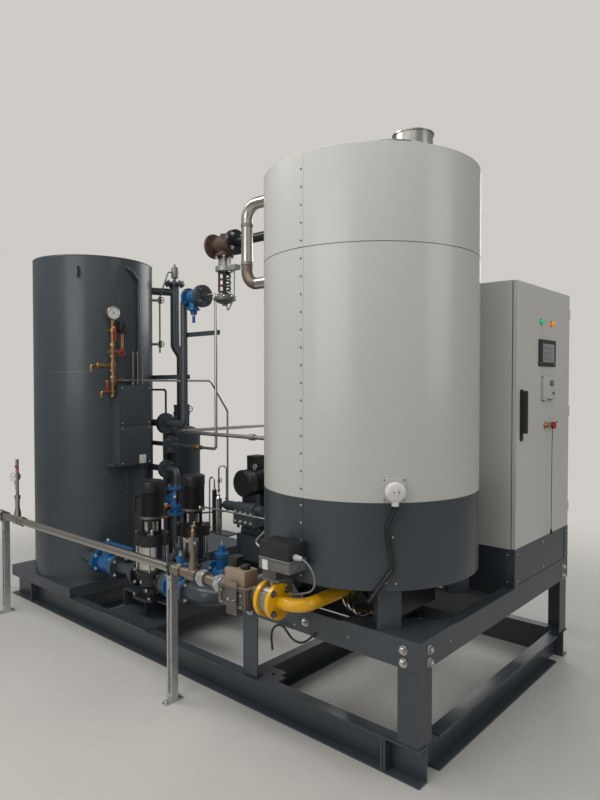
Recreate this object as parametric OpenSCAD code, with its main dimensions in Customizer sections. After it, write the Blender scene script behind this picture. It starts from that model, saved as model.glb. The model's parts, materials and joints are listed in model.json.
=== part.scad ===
// Skid-mounted vertical boiler plant: a steel skid that carries a feedwater tank,
// two upright booster pumps, a separator with its risers, a plunger feed pump,
// and a raised stand with the boiler drum, its gas train and a control cabinet.
// Millimetres, +Z up. The origin is under the middle of the whole plant, on the floor.
// The long side of the skid is along X and its front faces -Y.
// Every place below is measured from the skid's front right bottom corner:
// x is negative to the left, y grows towards the back.

/* [Skid] */
// Length of the skid
skid_l = 3700; // [3650:10:4000]
// Width of the skid
skid_w = 1750; // [1700:10:1900]
// Height of the skid channels
beam_h = 157; // [140:1:180]
// Flange width of the skid channels
beam_b = 65; // [55:1:80]
// Web and flange thickness of the skid channels
beam_t = 9; // [6:1:12]
// Distance of the bolted beam joint from the right end
joint_x = 191; // [150:1:260]
// Thickness of each plate of the bolted beam joint
joint_t = 10; // [6:1:14]
// Thickness of the pump deck plate
deck_t = 8; // [5:1:12]

/* [Raised stand] */
// Height of the top of the stand above the floor
stand_top = 596; // [560:1:680]
// Depth of the stand rails
rail_h = 118; // [100:1:140]
// Flange width of the stand rails
rail_b = 60; // [45:1:75]
// Plate thickness of the stand
stand_t = 6; // [4:1:8]
// Width of a leg's face
leg_w = 104; // [80:1:130]
// Set-back of the left part of the front rail
rail_setback = 12; // [8:1:20]
// Length of the part of the front rail that stands forward
rail_front_l = 567; // [450:1:700]

/* [Boiler drum] */
// Diameter of the drum casing
drum_d = 1068; // [1000:2:1090]
// Distance of the drum's axis from the right end of the skid
drum_x = 530; // [520:1:560]
// Distance of the drum's axis from the front of the skid
drum_y = 400; // [380:1:404]
// Height of the drum's bottom above the floor
drum_z = 780; // [740:1:840]
// Height of the dark skirt
skirt_h = 374; // [300:1:450]
// Height of the light casing up to its ring seam
casing_h = 1104; // [900:1:1300]
// Height of the upper ring of the casing
upper_h = 413; // [300:1:500]
// Wall of the casing
casing_t = 5; // [3:1:10]
// Thickness of the drum's roof and floor plates
drum_plate_t = 6; // [4:1:10]
// Width of a drum foot
foot_w = 104; // [80:1:120]
// Radius that the feet reach from the drum's axis
foot_r = 498; // [480:1:510]
// Diameter of the round cover on the roof
cover_d = 470; // [440:2:500]
// Height of the round cover on the roof
cover_h = 130; // [100:1:160]
// Diameter of the flue stub
flue_d = 195; // [150:1:200]
// Height of the flue stub above the cover
flue_h = 100; // [60:1:150]

/* [Control cabinet] */
// Width of the cabinet
cab_w = 800; // [700:10:800]
// Height of the cabinet
cab_h = 1400; // [1200:10:1600]
// Depth of the cabinet with its door
cab_d = 425; // [380:5:440]
// Height of the cabinet's plinth
plinth_h = 201; // [150:1:250]
// Thickness of the cabinet's walls
cab_t = 12; // [8:1:20]
// Thickness of the door
door_t = 20; // [16:1:25]
// Sheet thickness of the door
door_sheet = 3; // [2:1:4]
// Gap between the closed door and the cabinet
door_gap = 5; // [5:1:8]
// Radius of a hinge barrel
hinge_r = 5; // [4:0.5:5.5]
// Running clearance of a hinge barrel
hinge_c = 0.3; // [0.2:0.1:0.5]
// Length of a hinge barrel
hinge_l = 60; // [40:1:80]
// Reach of the door handle in front of the door
handle_reach = 34; // [28:1:45]
// Length of the door handle
handle_l = 272; // [220:1:320]

/* [Feedwater tank] */
// Diameter of the tank
tank_d = 900; // [850:2:904]
// Height of the tank's shell
tank_h = 2361; // [2000:1:2500]
// Wall of the tank
tank_t = 4; // [3:1:8]
// Distance of the tank's axis from the left end of the skid
tank_x = 454; // [454:1:470]
// Distance of the tank's axis from the front of the skid
tank_y = 470; // [462:1:480]
// Thickness of the tank's roof and floor plates
tank_plate_t = 6; // [4:1:10]
// Length of the tank's platform along the skid
plat_l = 900; // [880:1:930]
// Height of the platform above the beams
plat_h = 71; // [50:1:90]
// Size of the box on the tank across the skid
box_w = 272; // [220:1:330]
// Height of the box on the tank
box_h = 600; // [500:1:620]
// Diameter of the dial gauge
gauge_d = 100; // [80:1:110]

/* [Pumps] */
// Distance of the booster pumps from the right end of the skid
pump_x = 2095; // [2060:1:2130]
// Distance of the front pump from the front of the skid
pump_y = 190; // [180:1:200]
// Distance between the two booster pumps
pump_pitch = 340; // [320:1:360]
// Height of the pumps' feet above the floor
pump_z = 280; // [260:1:300]
// Height of a pump's cast base
pump_base_h = 182; // [175:1:190]
// Diameter of a pump's stainless sleeve
sleeve_d = 170; // [150:1:180]
// Height of a pump's stainless sleeve
sleeve_h = 166; // [150:1:400]
// Diameter of a pump's top flange
pump_flange_d = 227; // [200:1:240]
// Thickness of a pump's top flange
pump_flange_t = 70; // [40:1:80]
// Height of the motor stool
stool_h = 101; // [90:1:130]
// Diameter of a pump motor's fan cover
motor_d = 156; // [150:1:170]
// Height of a pump motor
motor_h = 240; // [200:1:280]
// Height of the line through the pumps' bases above their feet
port_z = 122; // [110:1:130]
// Outer diameter of the suction and discharge lines
line_d = 76; // [60:1:89]
// Diameter of the line flanges
line_flange_d = 165; // [150:1:185]
// Thickness of a line flange
line_flange_t = 18; // [14:1:22]

/* [Separator and risers] */
// Diameter of the separator
sep_d = 310; // [260:1:330]
// Distance of the separator's axis from the left end of the skid
sep_x = 754; // [740:1:765]
// Distance of the separator's axis from the front of the skid
sep_y = 1097; // [1090:1:1120]
// Height of the separator's round shell
sep_h = 840; // [700:1:900]
// Height of the separator's legs
sep_leg_h = 180; // [120:1:240]
// Outer diameter of the large riser
riser_d = 76; // [60:1:89]
// Height of the large riser's top flange above the floor
riser_top = 2510; // [2400:1:2600]
// Outer diameter of the slim riser
riser2_d = 54; // [42:1:60]
// Height of the slim riser's top bend above the floor
riser2_top = 2310; // [2200:1:2400]

/* [Regulating valve] */
// Height of the steam line's axis above the floor
steam_z = 2603; // [2560:1:2620]
// Outer diameter of the coil spring
spring_d = 92; // [80:1:96]
// Diameter of the spring's wire
spring_wire = 12; // [8:1:14]
// Number of half turns of the spring
spring_halves = 9; // [7:2:11]
// Diameter of the diaphragm housing
diaphragm_d = 152; // [145:1:180]

/* [Gas train] */
// Distance of the gas pipe in front of the skid
gas_y = 215; // [205:1:235]
// Height of the gas pipe's axis above the floor
gas_z = 700; // [680:1:730]
// Outer diameter of the gas pipe
gas_d = 48; // [42:1:60]
// Diameter of the yellow flanges
gas_flange_d = 160; // [150:1:165]
// Thickness of a yellow flange
gas_flange_t = 20; // [16:1:24]
// Outer diameter of the yellow pipe
gas_yellow_d = 60; // [48:1:66]
// Width of a strut post
strut = 41; // [38:1:45]
// Length of a strut post's base plate
strut_foot = 115; // [100:1:140]

/* [Hidden] */
$fn = 64;

// Fit between curved faces, and between pieces that are only laid together
fit = 0.3;

slate = [0.20, 0.23, 0.26];
light_grey = [0.72, 0.72, 0.70];
black = [0.06, 0.06, 0.065];
steel = [0.66, 0.65, 0.63];
blue = [0.03, 0.25, 0.62];
yellow = [0.93, 0.62, 0.04];
brass = [0.72, 0.50, 0.25];
zinc = [0.62, 0.64, 0.65];
brown = [0.36, 0.24, 0.17];
white = [0.9, 0.9, 0.88];

// The plant reaches from the left end of the skid to the handle on the door,
// and from the yellow flanges in front to the back of the skid
mid_x = (handle_reach - skid_l) / 2;
front_reach = gas_y + gas_flange_d / 2;
mid_y = (skid_w - front_reach) / 2;

// The stand ends under the left side of the drum
stand_l = drum_x + drum_d / 2;

// Places that many pieces share
tank_cx = tank_x - skid_l;
tank_face = tank_cx + tank_d / 2;
sep_cx = sep_x - skid_l;
deck_top = beam_h + deck_t;
port_axis = pump_z + port_z;

module at_skid() {
    translate([-mid_x, -mid_y, 0]) children();
}

// Round bar or pipe along each axis, starting at its first end
module rod_x(length, d) {
    rotate([0, 90, 0]) cylinder(h = length, d = d);
}

module rod_y(length, d) {
    rotate([-90, 0, 0]) cylinder(h = length, d = d);
}

module rod_z(length, d) {
    cylinder(h = length, d = d);
}

// Bodies turned about each axis from [place along the axis, radius] points
module turned_z(points) {
    rotate_extrude() polygon([for (p = points) [p[1], p[0]]]);
}

module turned_x(points) {
    rotate([0, 90, 0]) turned_z(points);
}

module turned_y(points) {
    rotate([-90, 0, 0]) turned_z(points);
}

// Solid that clears the tank's curved wall, to cut what stands against it
module tank_cutter() {
    translate([tank_cx, tank_y, 0])
        cylinder(h = 2 * tank_h, d = tank_d + 2 * fit, $fn = 360);
}

// Solid that clears the drum's curved wall
module drum_cutter() {
    translate([-drum_x, drum_y, 0])
        cylinder(h = 2 * drum_top, d = drum_d + 2 * fit, $fn = 128);
}

// Round stub along X from the tank's wall
module from_tank(y, z, x, d) {
    difference() {
        translate([tank_cx, y, z]) rod_x(x - tank_cx, d);
        tank_cutter();
    }
}

// Round stub along X to the drum's wall
module to_drum(x, y, z, d) {
    difference() {
        translate([x, y, z]) rod_x(-drum_x - x, d);
        drum_cutter();
    }
}

elbow_lap = 2;
elbow_step = 1.2;

function unit(v) = v / norm(v);

// Angle between the two runs that meet at point i of a route
function turn(route, i) =
    let (u = unit(route[i] - route[i - 1]), v = unit(route[i + 1] - route[i]))
    atan2(norm(cross(u, v)), u * v);

// Length of a run that the bend at point i takes away
function cut(route, i, bend) =
    (i == 0 || i == len(route) - 1) ? 0 : bend * tan(turn(route, i) / 2);

// Round bar from one point to another
module run(from, to, d) {
    way = to - from;
    translate(from)
        rotate([0, acos(way[2] / norm(way)), atan2(way[1], way[0])])
            cylinder(h = norm(way), d = d);
}

// Pipe along a route of points: straight runs that end inside slightly thicker elbows
module pipe(route, bend, d) {
    for (i = [0 : len(route) - 2]) {
        u = unit(route[i + 1] - route[i]);
        run(route[i] + u * max(cut(route, i, bend) - elbow_lap, 0),
            route[i + 1] - u * max(cut(route, i + 1, bend) - elbow_lap, 0), d);
    }
    if (len(route) > 2)
        for (i = [1 : len(route) - 2]) {
            u = unit(route[i] - route[i - 1]);
            v = unit(route[i + 1] - route[i]);
            n = unit(v - (u * v) * u);
            z = cross(u, n);
            c = n * bend - u * cut(route, i, bend);
            translate(route[i])
                multmatrix([[-n[0], u[0], z[0], c[0]],
                            [-n[1], u[1], z[1], c[1]],
                            [-n[2], u[2], z[2], c[2]],
                            [0, 0, 0, 1]])
                    rotate_extrude(angle = turn(route, i))
                        translate([bend, 0]) circle(d = d + elbow_step);
        }
}

// Channel along X, web at y = 0, flanges towards +Y
module chan_x(length, h, b, t) {
    cube([length, t, h]);
    cube([length, b, t]);
    translate([0, 0, h - t]) cube([length, b, t]);
}

// Channel along Y, web at x = 0, flanges towards +X
module chan_y(length, h, b, t) {
    cube([t, length, h]);
    cube([b, length, t]);
    translate([0, 0, h - t]) cube([b, length, t]);
}

// Places copies at both ends of a width, the second one mirrored
module both_y(width) {
    children();
    translate([0, width, 0]) mirror([0, 1, 0]) children();
}

// Skid

joint_gap = 4;
stiffener_x = 311;

// One long channel with its web inwards, its bolted joint and the stiffener at its left end
module long_beam() {
    color(slate)
        translate([-skid_l, beam_b, 0]) mirror([0, 1, 0]) chan_x(skid_l, beam_h, beam_b, beam_t);
    color(slate) {
        for (side = [0, 1])
            translate([-joint_x + side * (joint_t + joint_gap), 0, 0]) cube([joint_t, beam_b, beam_h]);
        translate([stiffener_x - skid_l, 0, 0]) cube([joint_t, beam_b, beam_h]);
    }
}

module skid_beams() {
    at_skid() both_y(skid_w) long_beam();
}

cross_l = skid_w - 2 * beam_b;
end_gap = 105;
mid_beam_x = stand_l - 4;
gusset_w = 105;
gusset_l = 140;
gusset_notch = 58;
gusset_t = 10;
gusset_hole_d = 22;
gusset_hole = [65, 47];

// Cross channel whose web touches the long beams
module cross_beam() {
    translate([0, beam_b, 0]) chan_y(cross_l, beam_h, beam_b, beam_t);
}

// Notched corner plate with a hoisting hole, in the top plane of the beams
module corner_gusset() {
    translate([0, beam_b, beam_h - gusset_t])
        difference() {
            linear_extrude(gusset_t)
                polygon([[0, 0], [gusset_l, 0], [gusset_l, gusset_notch],
                         [gusset_w, gusset_notch], [gusset_w, gusset_w], [0, gusset_w]]);
            translate([gusset_hole[0], gusset_hole[1], -1])
                cylinder(h = gusset_t + 2, d = gusset_hole_d);
        }
}

module skid_cross_members() {
    color(slate) at_skid() {
        // right end channel, open side outwards
        mirror([1, 0, 0]) translate([0, beam_b, 0])
            difference() {
                translate([beam_b, 0, 0]) mirror([1, 0, 0]) chan_y(cross_l, beam_h, beam_b, beam_t);
                // its outer flanges are cut away beside the corner legs
                for (y = [-1, cross_l - end_gap])
                    translate([-1, y, -1])
                        cube([beam_b - beam_t + 1, end_gap + 1, beam_h + 2]);
            }
        // middle channel under the left legs of the stand, with its corner plates
        translate([-mid_beam_x, 0, 0]) {
            cross_beam();
            translate([beam_b, 0, 0]) both_y(skid_w) corner_gusset();
        }
        // channel under the right edge of the platform, and the left end channel
        translate([-skid_l + plat_l - beam_b, 0, 0]) cross_beam();
        translate([-skid_l, 0, 0]) cross_beam();
    }
}

// Folded tray that the tank and the separator stand on
module tank_platform() {
    color(slate) at_skid()
        translate([-skid_l, 0, beam_h])
            difference() {
                cube([plat_l, skid_w, plat_h]);
                translate([beam_b, beam_b, -1])
                    cube([plat_l - 2 * beam_b, skid_w - 2 * beam_b, plat_h - deck_t + 1]);
            }
}

deck_margin = 285;
deck_x0 = pump_x + deck_margin;
deck_l = 480;
stool_y0 = 165;
stool_y1 = pump_y + pump_pitch + 130;

// Deck plate across both beams, with the folded stool that the booster pumps stand on
module pump_deck() {
    bay_h = pump_z - beam_h - 2 * deck_t;
    color(slate) at_skid() {
        translate([-deck_x0, 0, beam_h]) cube([deck_l, skid_w, deck_t]);
        translate([-deck_x0, stool_y0, deck_top])
            difference() {
                cube([deck_l, stool_y1 - stool_y0, pump_z - deck_top]);
                translate([deck_t, -1, -1])
                    cube([deck_l / 2 - deck_t, stool_y1 - stool_y0 + 2, bay_h + 1]);
                translate([deck_l / 2 + deck_t, -1, -1])
                    cube([deck_l / 2 - 2 * deck_t, stool_y1 - stool_y0 + 2, bay_h + 1]);
            }
    }
}

// Raised stand

leg_foot_w = 48;
leg_foot_inset = 10;

// Corner leg folded from plate, standing inside the rails
module stand_leg() {
    leg_h = stand_top - stand_t - beam_h;
    translate([-stand_t, stand_t, beam_h]) {
        translate([-leg_w, 0, 0]) cube([leg_w, stand_t, leg_h]);
        translate([-stand_t, 0, 0]) cube([stand_t, leg_w, leg_h]);
        translate([-leg_w + leg_foot_inset, stand_t, 0])
            cube([leg_w - leg_foot_inset - stand_t, leg_foot_w, stand_t]);
    }
}

module four_legs() {
    both_y(skid_w) {
        stand_leg();
        translate([-stand_l, rail_setback, 0]) mirror([1, 0, 0]) stand_leg();
    }
}

module stand_legs() {
    color(slate) at_skid() four_legs();
}

rail_z = stand_top - rail_h;
rail_lap = 60;
drum_rail_b = rail_b + 12;
drum_rail_y = drum_y + foot_r * sin(45) - drum_rail_b / 2;
cab_y0 = skid_w - cab_w;

// Rails of the stand: an outer ring of channels and two cross rails
module stand_frame() {
    color(slate) at_skid() difference() {
        translate([0, 0, rail_z]) {
            // front and back rails; their left part is set back and lapped
            both_y(skid_w) {
                translate([-rail_front_l, 0, 0]) chan_x(rail_front_l, rail_h, rail_b, stand_t);
                translate([-stand_l, rail_setback, 0])
                    chan_x(stand_l - rail_front_l + rail_lap, rail_h, rail_b - rail_setback, stand_t);
                translate([-rail_front_l - stand_t, 0, 0])
                    cube([stand_t * 2, rail_setback + stand_t, rail_h]);
            }
            // right and left rails
            mirror([1, 0, 0]) chan_y(skid_w, rail_h, rail_b, stand_t);
            translate([-stand_l, rail_setback, 0])
                chan_y(skid_w - 2 * rail_setback, rail_h, rail_b, stand_t);
            // cross rails under the rear drum feet and the cabinet
            translate([-stand_l, drum_rail_y, 0]) chan_x(stand_l, rail_h, drum_rail_b, stand_t);
            translate([-stand_l, cab_y0, 0]) chan_x(stand_l, rail_h, rail_b, stand_t);
        }
        // the lower flanges are notched where the legs pass
        four_legs();
    }
}

corner_t = 6;
corner_l = 400;
corner_w = 310;

// Box foot of the drum on the plate that is handed in
module drum_foot() {
    translate([0, 0, stand_top]) children();
    translate([0, 0, stand_top + corner_t])
        rotate([0, 0, -45])
            translate([foot_r - foot_w, -foot_w / 2, 0])
                cube([foot_w, foot_w, drum_z - stand_top - corner_t]);
}

// Plate in a front corner of the stand, seen from the drum's axis
module corner_plate(reach, set_back) {
    linear_extrude(corner_t)
        polygon([[reach, set_back - drum_y], [reach, corner_w - drum_y],
                 [reach - rail_b, corner_w - drum_y],
                 [reach - corner_l, rail_b - drum_y], [reach - corner_l, set_back - drum_y]]);
}

module drum_feet() {
    color(slate) at_drum(0) {
        // front pair on the corners of the stand
        drum_foot() corner_plate(drum_x, 0);
        mirror([1, 0, 0]) drum_foot() corner_plate(stand_l - drum_x, rail_setback);
        // rear pair on the cross rail
        for (side = [0, 1])
            mirror([side, 0, 0]) mirror([0, 1, 0])
                drum_foot()
                    translate([foot_r * cos(45) - foot_w, -foot_r * sin(45) - drum_rail_b / 2, 0])
                        cube([foot_w * 1.5, drum_rail_b, corner_t]);
    }
}

// Drum

module ring(d, h, t) {
    difference() {
        cylinder(h = h, d = d, $fn = 128);
        translate([0, 0, -1]) cylinder(h = h + 2, d = d - 2 * t, $fn = 128);
    }
}

module at_drum(z) {
    at_skid() translate([-drum_x, drum_y, z]) children();
}

module drum_floor() {
    color(slate) at_drum(drum_z) cylinder(h = drum_plate_t, d = drum_d, $fn = 128);
}

module drum_skirt() {
    color(slate) at_drum(drum_z + drum_plate_t)
        ring(drum_d, skirt_h - drum_plate_t, casing_t);
}

module drum_casing() {
    color(light_grey) at_drum(drum_z + skirt_h) ring(drum_d, casing_h, casing_t);
}

module drum_upper_casing() {
    color(light_grey) at_drum(drum_z + skirt_h + casing_h)
        ring(drum_d, upper_h - drum_plate_t, casing_t);
}

drum_top = drum_z + skirt_h + casing_h + upper_h;
cover_at = [60, 70];
flue_at = [160, 140];

// Flat roof with the hole of the flue
module drum_roof() {
    color(light_grey) at_drum(drum_top - drum_plate_t)
        difference() {
            cylinder(h = drum_plate_t, d = drum_d, $fn = 128);
            translate([flue_at[0], flue_at[1], -1])
                cylinder(h = drum_plate_t + 2, d = flue_d - 2 * casing_t);
        }
}

cover_rim_w = 14;
cover_rim_t = 5;

// Round cover on the roof with the flanged stub of the flue
module flue_collar() {
    color(steel) at_drum(drum_top)
        difference() {
            union() {
                translate([cover_at[0], cover_at[1], 0]) {
                    cylinder(h = cover_h, d = cover_d);
                    cylinder(h = cover_rim_t, d = cover_d + 2 * cover_rim_w);
                }
                translate([flue_at[0], flue_at[1], 0]) {
                    cylinder(h = cover_h + flue_h, d = flue_d);
                    translate([0, 0, cover_h + flue_h - cover_rim_t])
                        cylinder(h = cover_rim_t, d = flue_d + cover_rim_w);
                }
            }
            translate([cover_at[0], cover_at[1], -1])
                cylinder(h = cover_h - cover_rim_t + 1, d = cover_d - 2 * casing_t);
            translate([flue_at[0], flue_at[1], -1])
                cylinder(h = cover_h + flue_h + 2, d = flue_d - 2 * casing_t);
        }
}

windbox_w = 480;
windbox_z = stand_top - 40;
windbox_top = drum_z - 40;
hose_d = 20;
hose_lift = 4;

// Place beside the drum at an angle, a radius and a height
function beside(a, r, z) = [r * cos(a), r * sin(a), z];

// Burner windbox with its round neck under the drum, and the hose of the level instrument
module burner_windbox() {
    near = drum_d / 2 + hose_d / 2 + hose_lift;
    color(black) at_drum(0) {
        translate([-windbox_w / 2, -windbox_w / 2, windbox_z])
            cube([windbox_w, windbox_w, windbox_top - windbox_z]);
        translate([0, 0, windbox_top]) cylinder(h = drum_z - windbox_top, d = windbox_w * 0.8);
        pipe([beside(sensor_angle, sensor_out, sensor_z - sensor_d / 2 - fit),
              beside(sensor_angle, sensor_out, 1130), beside(-47.5, near, 1050),
              beside(-44.5, near, 880), beside(-55, near, 740), [130, -230, 690]],
             22, hose_d);
    }
}

sensor_angle = -44;
sensor_z = 1206;
sensor_d = 86;
sensor_t = 24;
sensor_neck = 12;
plate_w = 100;
plate_t = 3;
plate_lift = 6;
sensor_out = drum_d / 2 + fit + plate_t + sensor_neck + sensor_t / 2;

// Round level instrument on its square cover plate, on the side of the drum
module level_sensor() {
    r = sensor_d / 2;
    color(white) at_drum(0) rotate([0, 0, sensor_angle])
        translate([drum_d / 2 + fit, 0, sensor_z]) {
            translate([0, -plate_w / 2, plate_lift - plate_w / 2]) cube([plate_t, plate_w, plate_w]);
            turned_x([[plate_t, 0], [plate_t, r * 0.6], [plate_t + sensor_neck, r * 0.6],
                      [plate_t + sensor_neck, r], [plate_t + sensor_neck + sensor_t * 0.6, r],
                      [plate_t + sensor_neck + sensor_t, r * 0.8],
                      [plate_t + sensor_neck + sensor_t, 0]]);
        }
}

// Control cabinet

cab_z = stand_top + plinth_h;
shell_x = door_t + door_gap;
shell_d = cab_d - shell_x;

module at_cabinet() {
    at_skid() translate([0, cab_y0, cab_z]) children();
}

plinth_post = 55;
panel_inset = 3;
panel_edge = 8;

// Plinth with its four corner pieces and set-back panels
module cabinet_plinth() {
    color(slate) at_skid()
        translate([-cab_d, cab_y0, stand_top])
            difference() {
                cube([cab_d, cab_w, plinth_h]);
                translate([cab_t, cab_t, -1])
                    cube([cab_d - 2 * cab_t, cab_w - 2 * cab_t, plinth_h + 2]);
                for (x = [-1, cab_d - panel_inset])
                    translate([x, plinth_post, panel_edge])
                        cube([panel_inset + 1, cab_w - 2 * plinth_post, plinth_h - 2 * panel_edge]);
                translate([plinth_post, -1, panel_edge])
                    cube([cab_d - 2 * plinth_post, panel_inset + 1, plinth_h - 2 * panel_edge]);
            }
}

hinge_y = cab_w - hinge_r - 1;
hinge_z = [120, cab_h / 2, cab_h - 120];
lug_t = 4;

// Roof, floor and both sides of the cabinet, with the fixed hinge barrels
module cabinet_frame() {
    color(light_grey) at_cabinet() {
        translate([-cab_d, 0, 0])
            difference() {
                cube([shell_d, cab_w, cab_h]);
                translate([-1, cab_t, cab_t])
                    cube([shell_d + 2, cab_w - 2 * cab_t, cab_h - 2 * cab_t]);
            }
        for (z = hinge_z) {
            translate([0, hinge_y, z - hinge_l / 2]) rod_z(hinge_l, 2 * hinge_r);
            translate([-shell_x - 1, cab_w - 1 - lug_t, z - hinge_l / 2])
                cube([shell_x + 1, lug_t, hinge_l]);
        }
    }
}

module cabinet_back() {
    color(light_grey) at_cabinet()
        translate([-cab_d, cab_t + fit, cab_t + fit])
            cube([door_sheet, cab_w - 2 * (cab_t + fit), cab_h - 2 * (cab_t + fit)]);
}

plate_gap = 25;
plate_edge = 50;
stud_d = 16;

// Galvanised plate on four studs inside the cabinet
module mounting_plate() {
    color(zinc) at_cabinet()
        translate([-cab_d + door_sheet, 0, 0]) {
            translate([plate_gap, plate_edge, plate_edge])
                cube([door_sheet, cab_w - 2 * plate_edge, cab_h - 2 * plate_edge]);
            for (y = [2 * plate_edge, cab_w - 2 * plate_edge])
                for (z = [2 * plate_edge, cab_h - 2 * plate_edge])
                    translate([0, y, z]) rod_x(plate_gap, stud_d);
        }
}

door_rim = 2;

// Pan-shaped door, cut out round the hinge barrels
module cabinet_door() {
    pan_w = hinge_y - door_rim - 2 * door_sheet - 2 * hinge_r;
    color(light_grey) at_cabinet()
        difference() {
            translate([-door_t, door_rim, door_rim])
                cube([door_t, hinge_y - door_rim, cab_h - 2 * door_rim]);
            translate([-door_t - 1, door_rim + door_sheet, door_rim + door_sheet])
                cube([door_t - door_sheet + 1, pan_w, cab_h - 2 * (door_rim + door_sheet)]);
            for (z = hinge_z)
                translate([0, hinge_y, z - hinge_l / 2 - 1])
                    rod_z(hinge_l + 2, 2 * (hinge_r + hinge_c));
        }
}

// Flat bar along Z with round ends, its back on x = 0
module round_bar(length, width, t) {
    translate([0, -width / 2, -length / 2 + width / 2]) cube([t, width, length - width]);
    for (side = [-1, 1]) translate([0, 0, side * (length - width) / 2]) rod_x(t, width);
}

handle_y = 63;
handle_z = 699;
handle_w = 30;
handle_base_t = 8;
grip_l = handle_l * 0.82;

// Swing handle with its base plate
module door_handle() {
    color(black) at_cabinet() translate([0, handle_y, handle_z]) {
        round_bar(handle_l, handle_w, handle_base_t);
        translate([handle_base_t, 0, (handle_l - grip_l) / 2 - handle_base_t])
            round_bar(grip_l, handle_w * 0.72, handle_reach - handle_base_t);
    }
}

screen_y = [298, 539];
screen_z = [963, 1109];
screen_t = 7;
lamp_y = [333, 494];
lamp_z = 1206;
lamp_d = 29;
lamp_t = 14;
meter_y = [347, 496];
meter_z = [770, 906];
meter_t = 12;
lock_at = [405, 630];
lock_d = 26;
stop_at = [483, 627];
stop_d = 40;

// Plate on the door between two corners, with a shallow recess in its face
module face_plate(y, z, t, edge) {
    difference() {
        translate([0, y[0], z[0]]) cube([t, y[1] - y[0], z[1] - z[0]]);
        translate([t - 2, y[0] + edge, z[0] + edge])
            cube([3, y[1] - y[0] - 2 * edge, z[1] - z[0] - 2 * edge]);
    }
}

// Touch screen, lamps, controller, stop button and lock on the door
module door_fittings() {
    color(black) at_cabinet() {
        face_plate(screen_y, screen_z, screen_t, 18);
        face_plate(meter_y, meter_z, meter_t, 24);
        for (y = lamp_y)
            translate([0, y, lamp_z])
                turned_x([[0, 0], [0, lamp_d / 2], [lamp_t * 0.5, lamp_d / 2],
                          [lamp_t, lamp_d * 0.36], [lamp_t, 0]]);
        translate([0, lock_at[0], lock_at[1]]) rod_x(meter_t, lock_d);
        translate([0, stop_at[0], stop_at[1]])
            turned_x([[0, 0], [0, stop_d * 0.36], [12, stop_d * 0.3], [16, stop_d / 2],
                      [24, stop_d / 2], [30, stop_d * 0.3], [30, 0]]);
    }
}

// Feedwater tank

plat_top = beam_h + plat_h;

module at_tank(z) {
    at_skid() translate([tank_cx, tank_y, z]) children();
}

module tank_floor() {
    color(slate) at_tank(plat_top) cylinder(h = tank_plate_t, d = tank_d, $fn = 128);
}

lug_at = -44.6;
tank_lug_z = 2476;
tank_lug = [50, 12, 76];
lug_hole_d = 24;

// Shell of the tank with its lifting lug
module tank_shell() {
    color(slate) {
        at_tank(plat_top + tank_plate_t) ring(tank_d, tank_h, tank_t);
        at_tank(tank_lug_z) rotate([0, 0, lug_at])
            translate([tank_d / 2 - 2, -tank_lug[1] / 2, -tank_lug[2] / 2])
                difference() {
                    cube(tank_lug);
                    translate([tank_lug[0] * 0.6, -1, tank_lug[2] / 2])
                        rod_y(tank_lug[1] + 2, lug_hole_d);
                }
    }
}

module tank_roof() {
    color(slate) at_tank(plat_top + tank_plate_t + tank_h)
        cylinder(h = tank_plate_t, d = tank_d, $fn = 128);
}

manifold_x = tank_face + 40;
manifold_y = 326;
manifold_z0 = 1568;
manifold_d = 26;
branch_d = 22;
gauge_z = 2178;
gauge_t = 36;
check_z = 1795;
tee_z = 1895;
union_z = 1689;
drain_z = 1606;
switch_y = 405;
switch_z = 2030;
elbow_y = 152;
union_y = 394;
union_l = 30;
standoff_z = [1630, 2052];
standoff_d = 20;

// Upright pipe of the manifold with its unions and nuts
module manifold_pipe() {
    r = manifold_d / 2;
    h = gauge_z - manifold_z0 - gauge_d / 2 + 9;
    turned_z([[0, 0], [0, r + 5], [20, r + 5], [20, r], [100, r], [100, r + 7], [125, r + 7],
              [125, r], [205, r], [205, r + 8], [250, r + 8], [250, r], [312, r], [312, r + 9],
              [342, r + 9], [342, r], [470, r], [470, r + 7], [500, r + 7], [500, r - 2],
              [h, r - 2], [h, 0]]);
}

glass_at = [256, 444];
glass_z = [1990, 2349];
glass_d = 14;
cock_d = 26;
cock_h = 50;
stub_l = 100;

// Gauge glass on two cocks that stand out from the tank
module gauge_glass() {
    out = unit([glass_at[0], glass_at[1], 0]);
    difference() {
        translate([tank_cx, tank_y, 0]) {
            for (z = glass_z) {
                translate([glass_at[0], glass_at[1], z - cock_h / 2]) rod_z(cock_h, cock_d);
                run([glass_at[0], glass_at[1], z] - out * stub_l, [glass_at[0], glass_at[1], z],
                    branch_d);
            }
            translate([glass_at[0], glass_at[1], glass_z[0] - 70])
                rod_z(glass_z[1] - glass_z[0] + 70, glass_d);
        }
        tank_cutter();
    }
}

valve2_x = -2440;
valve2_l = 110;

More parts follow.
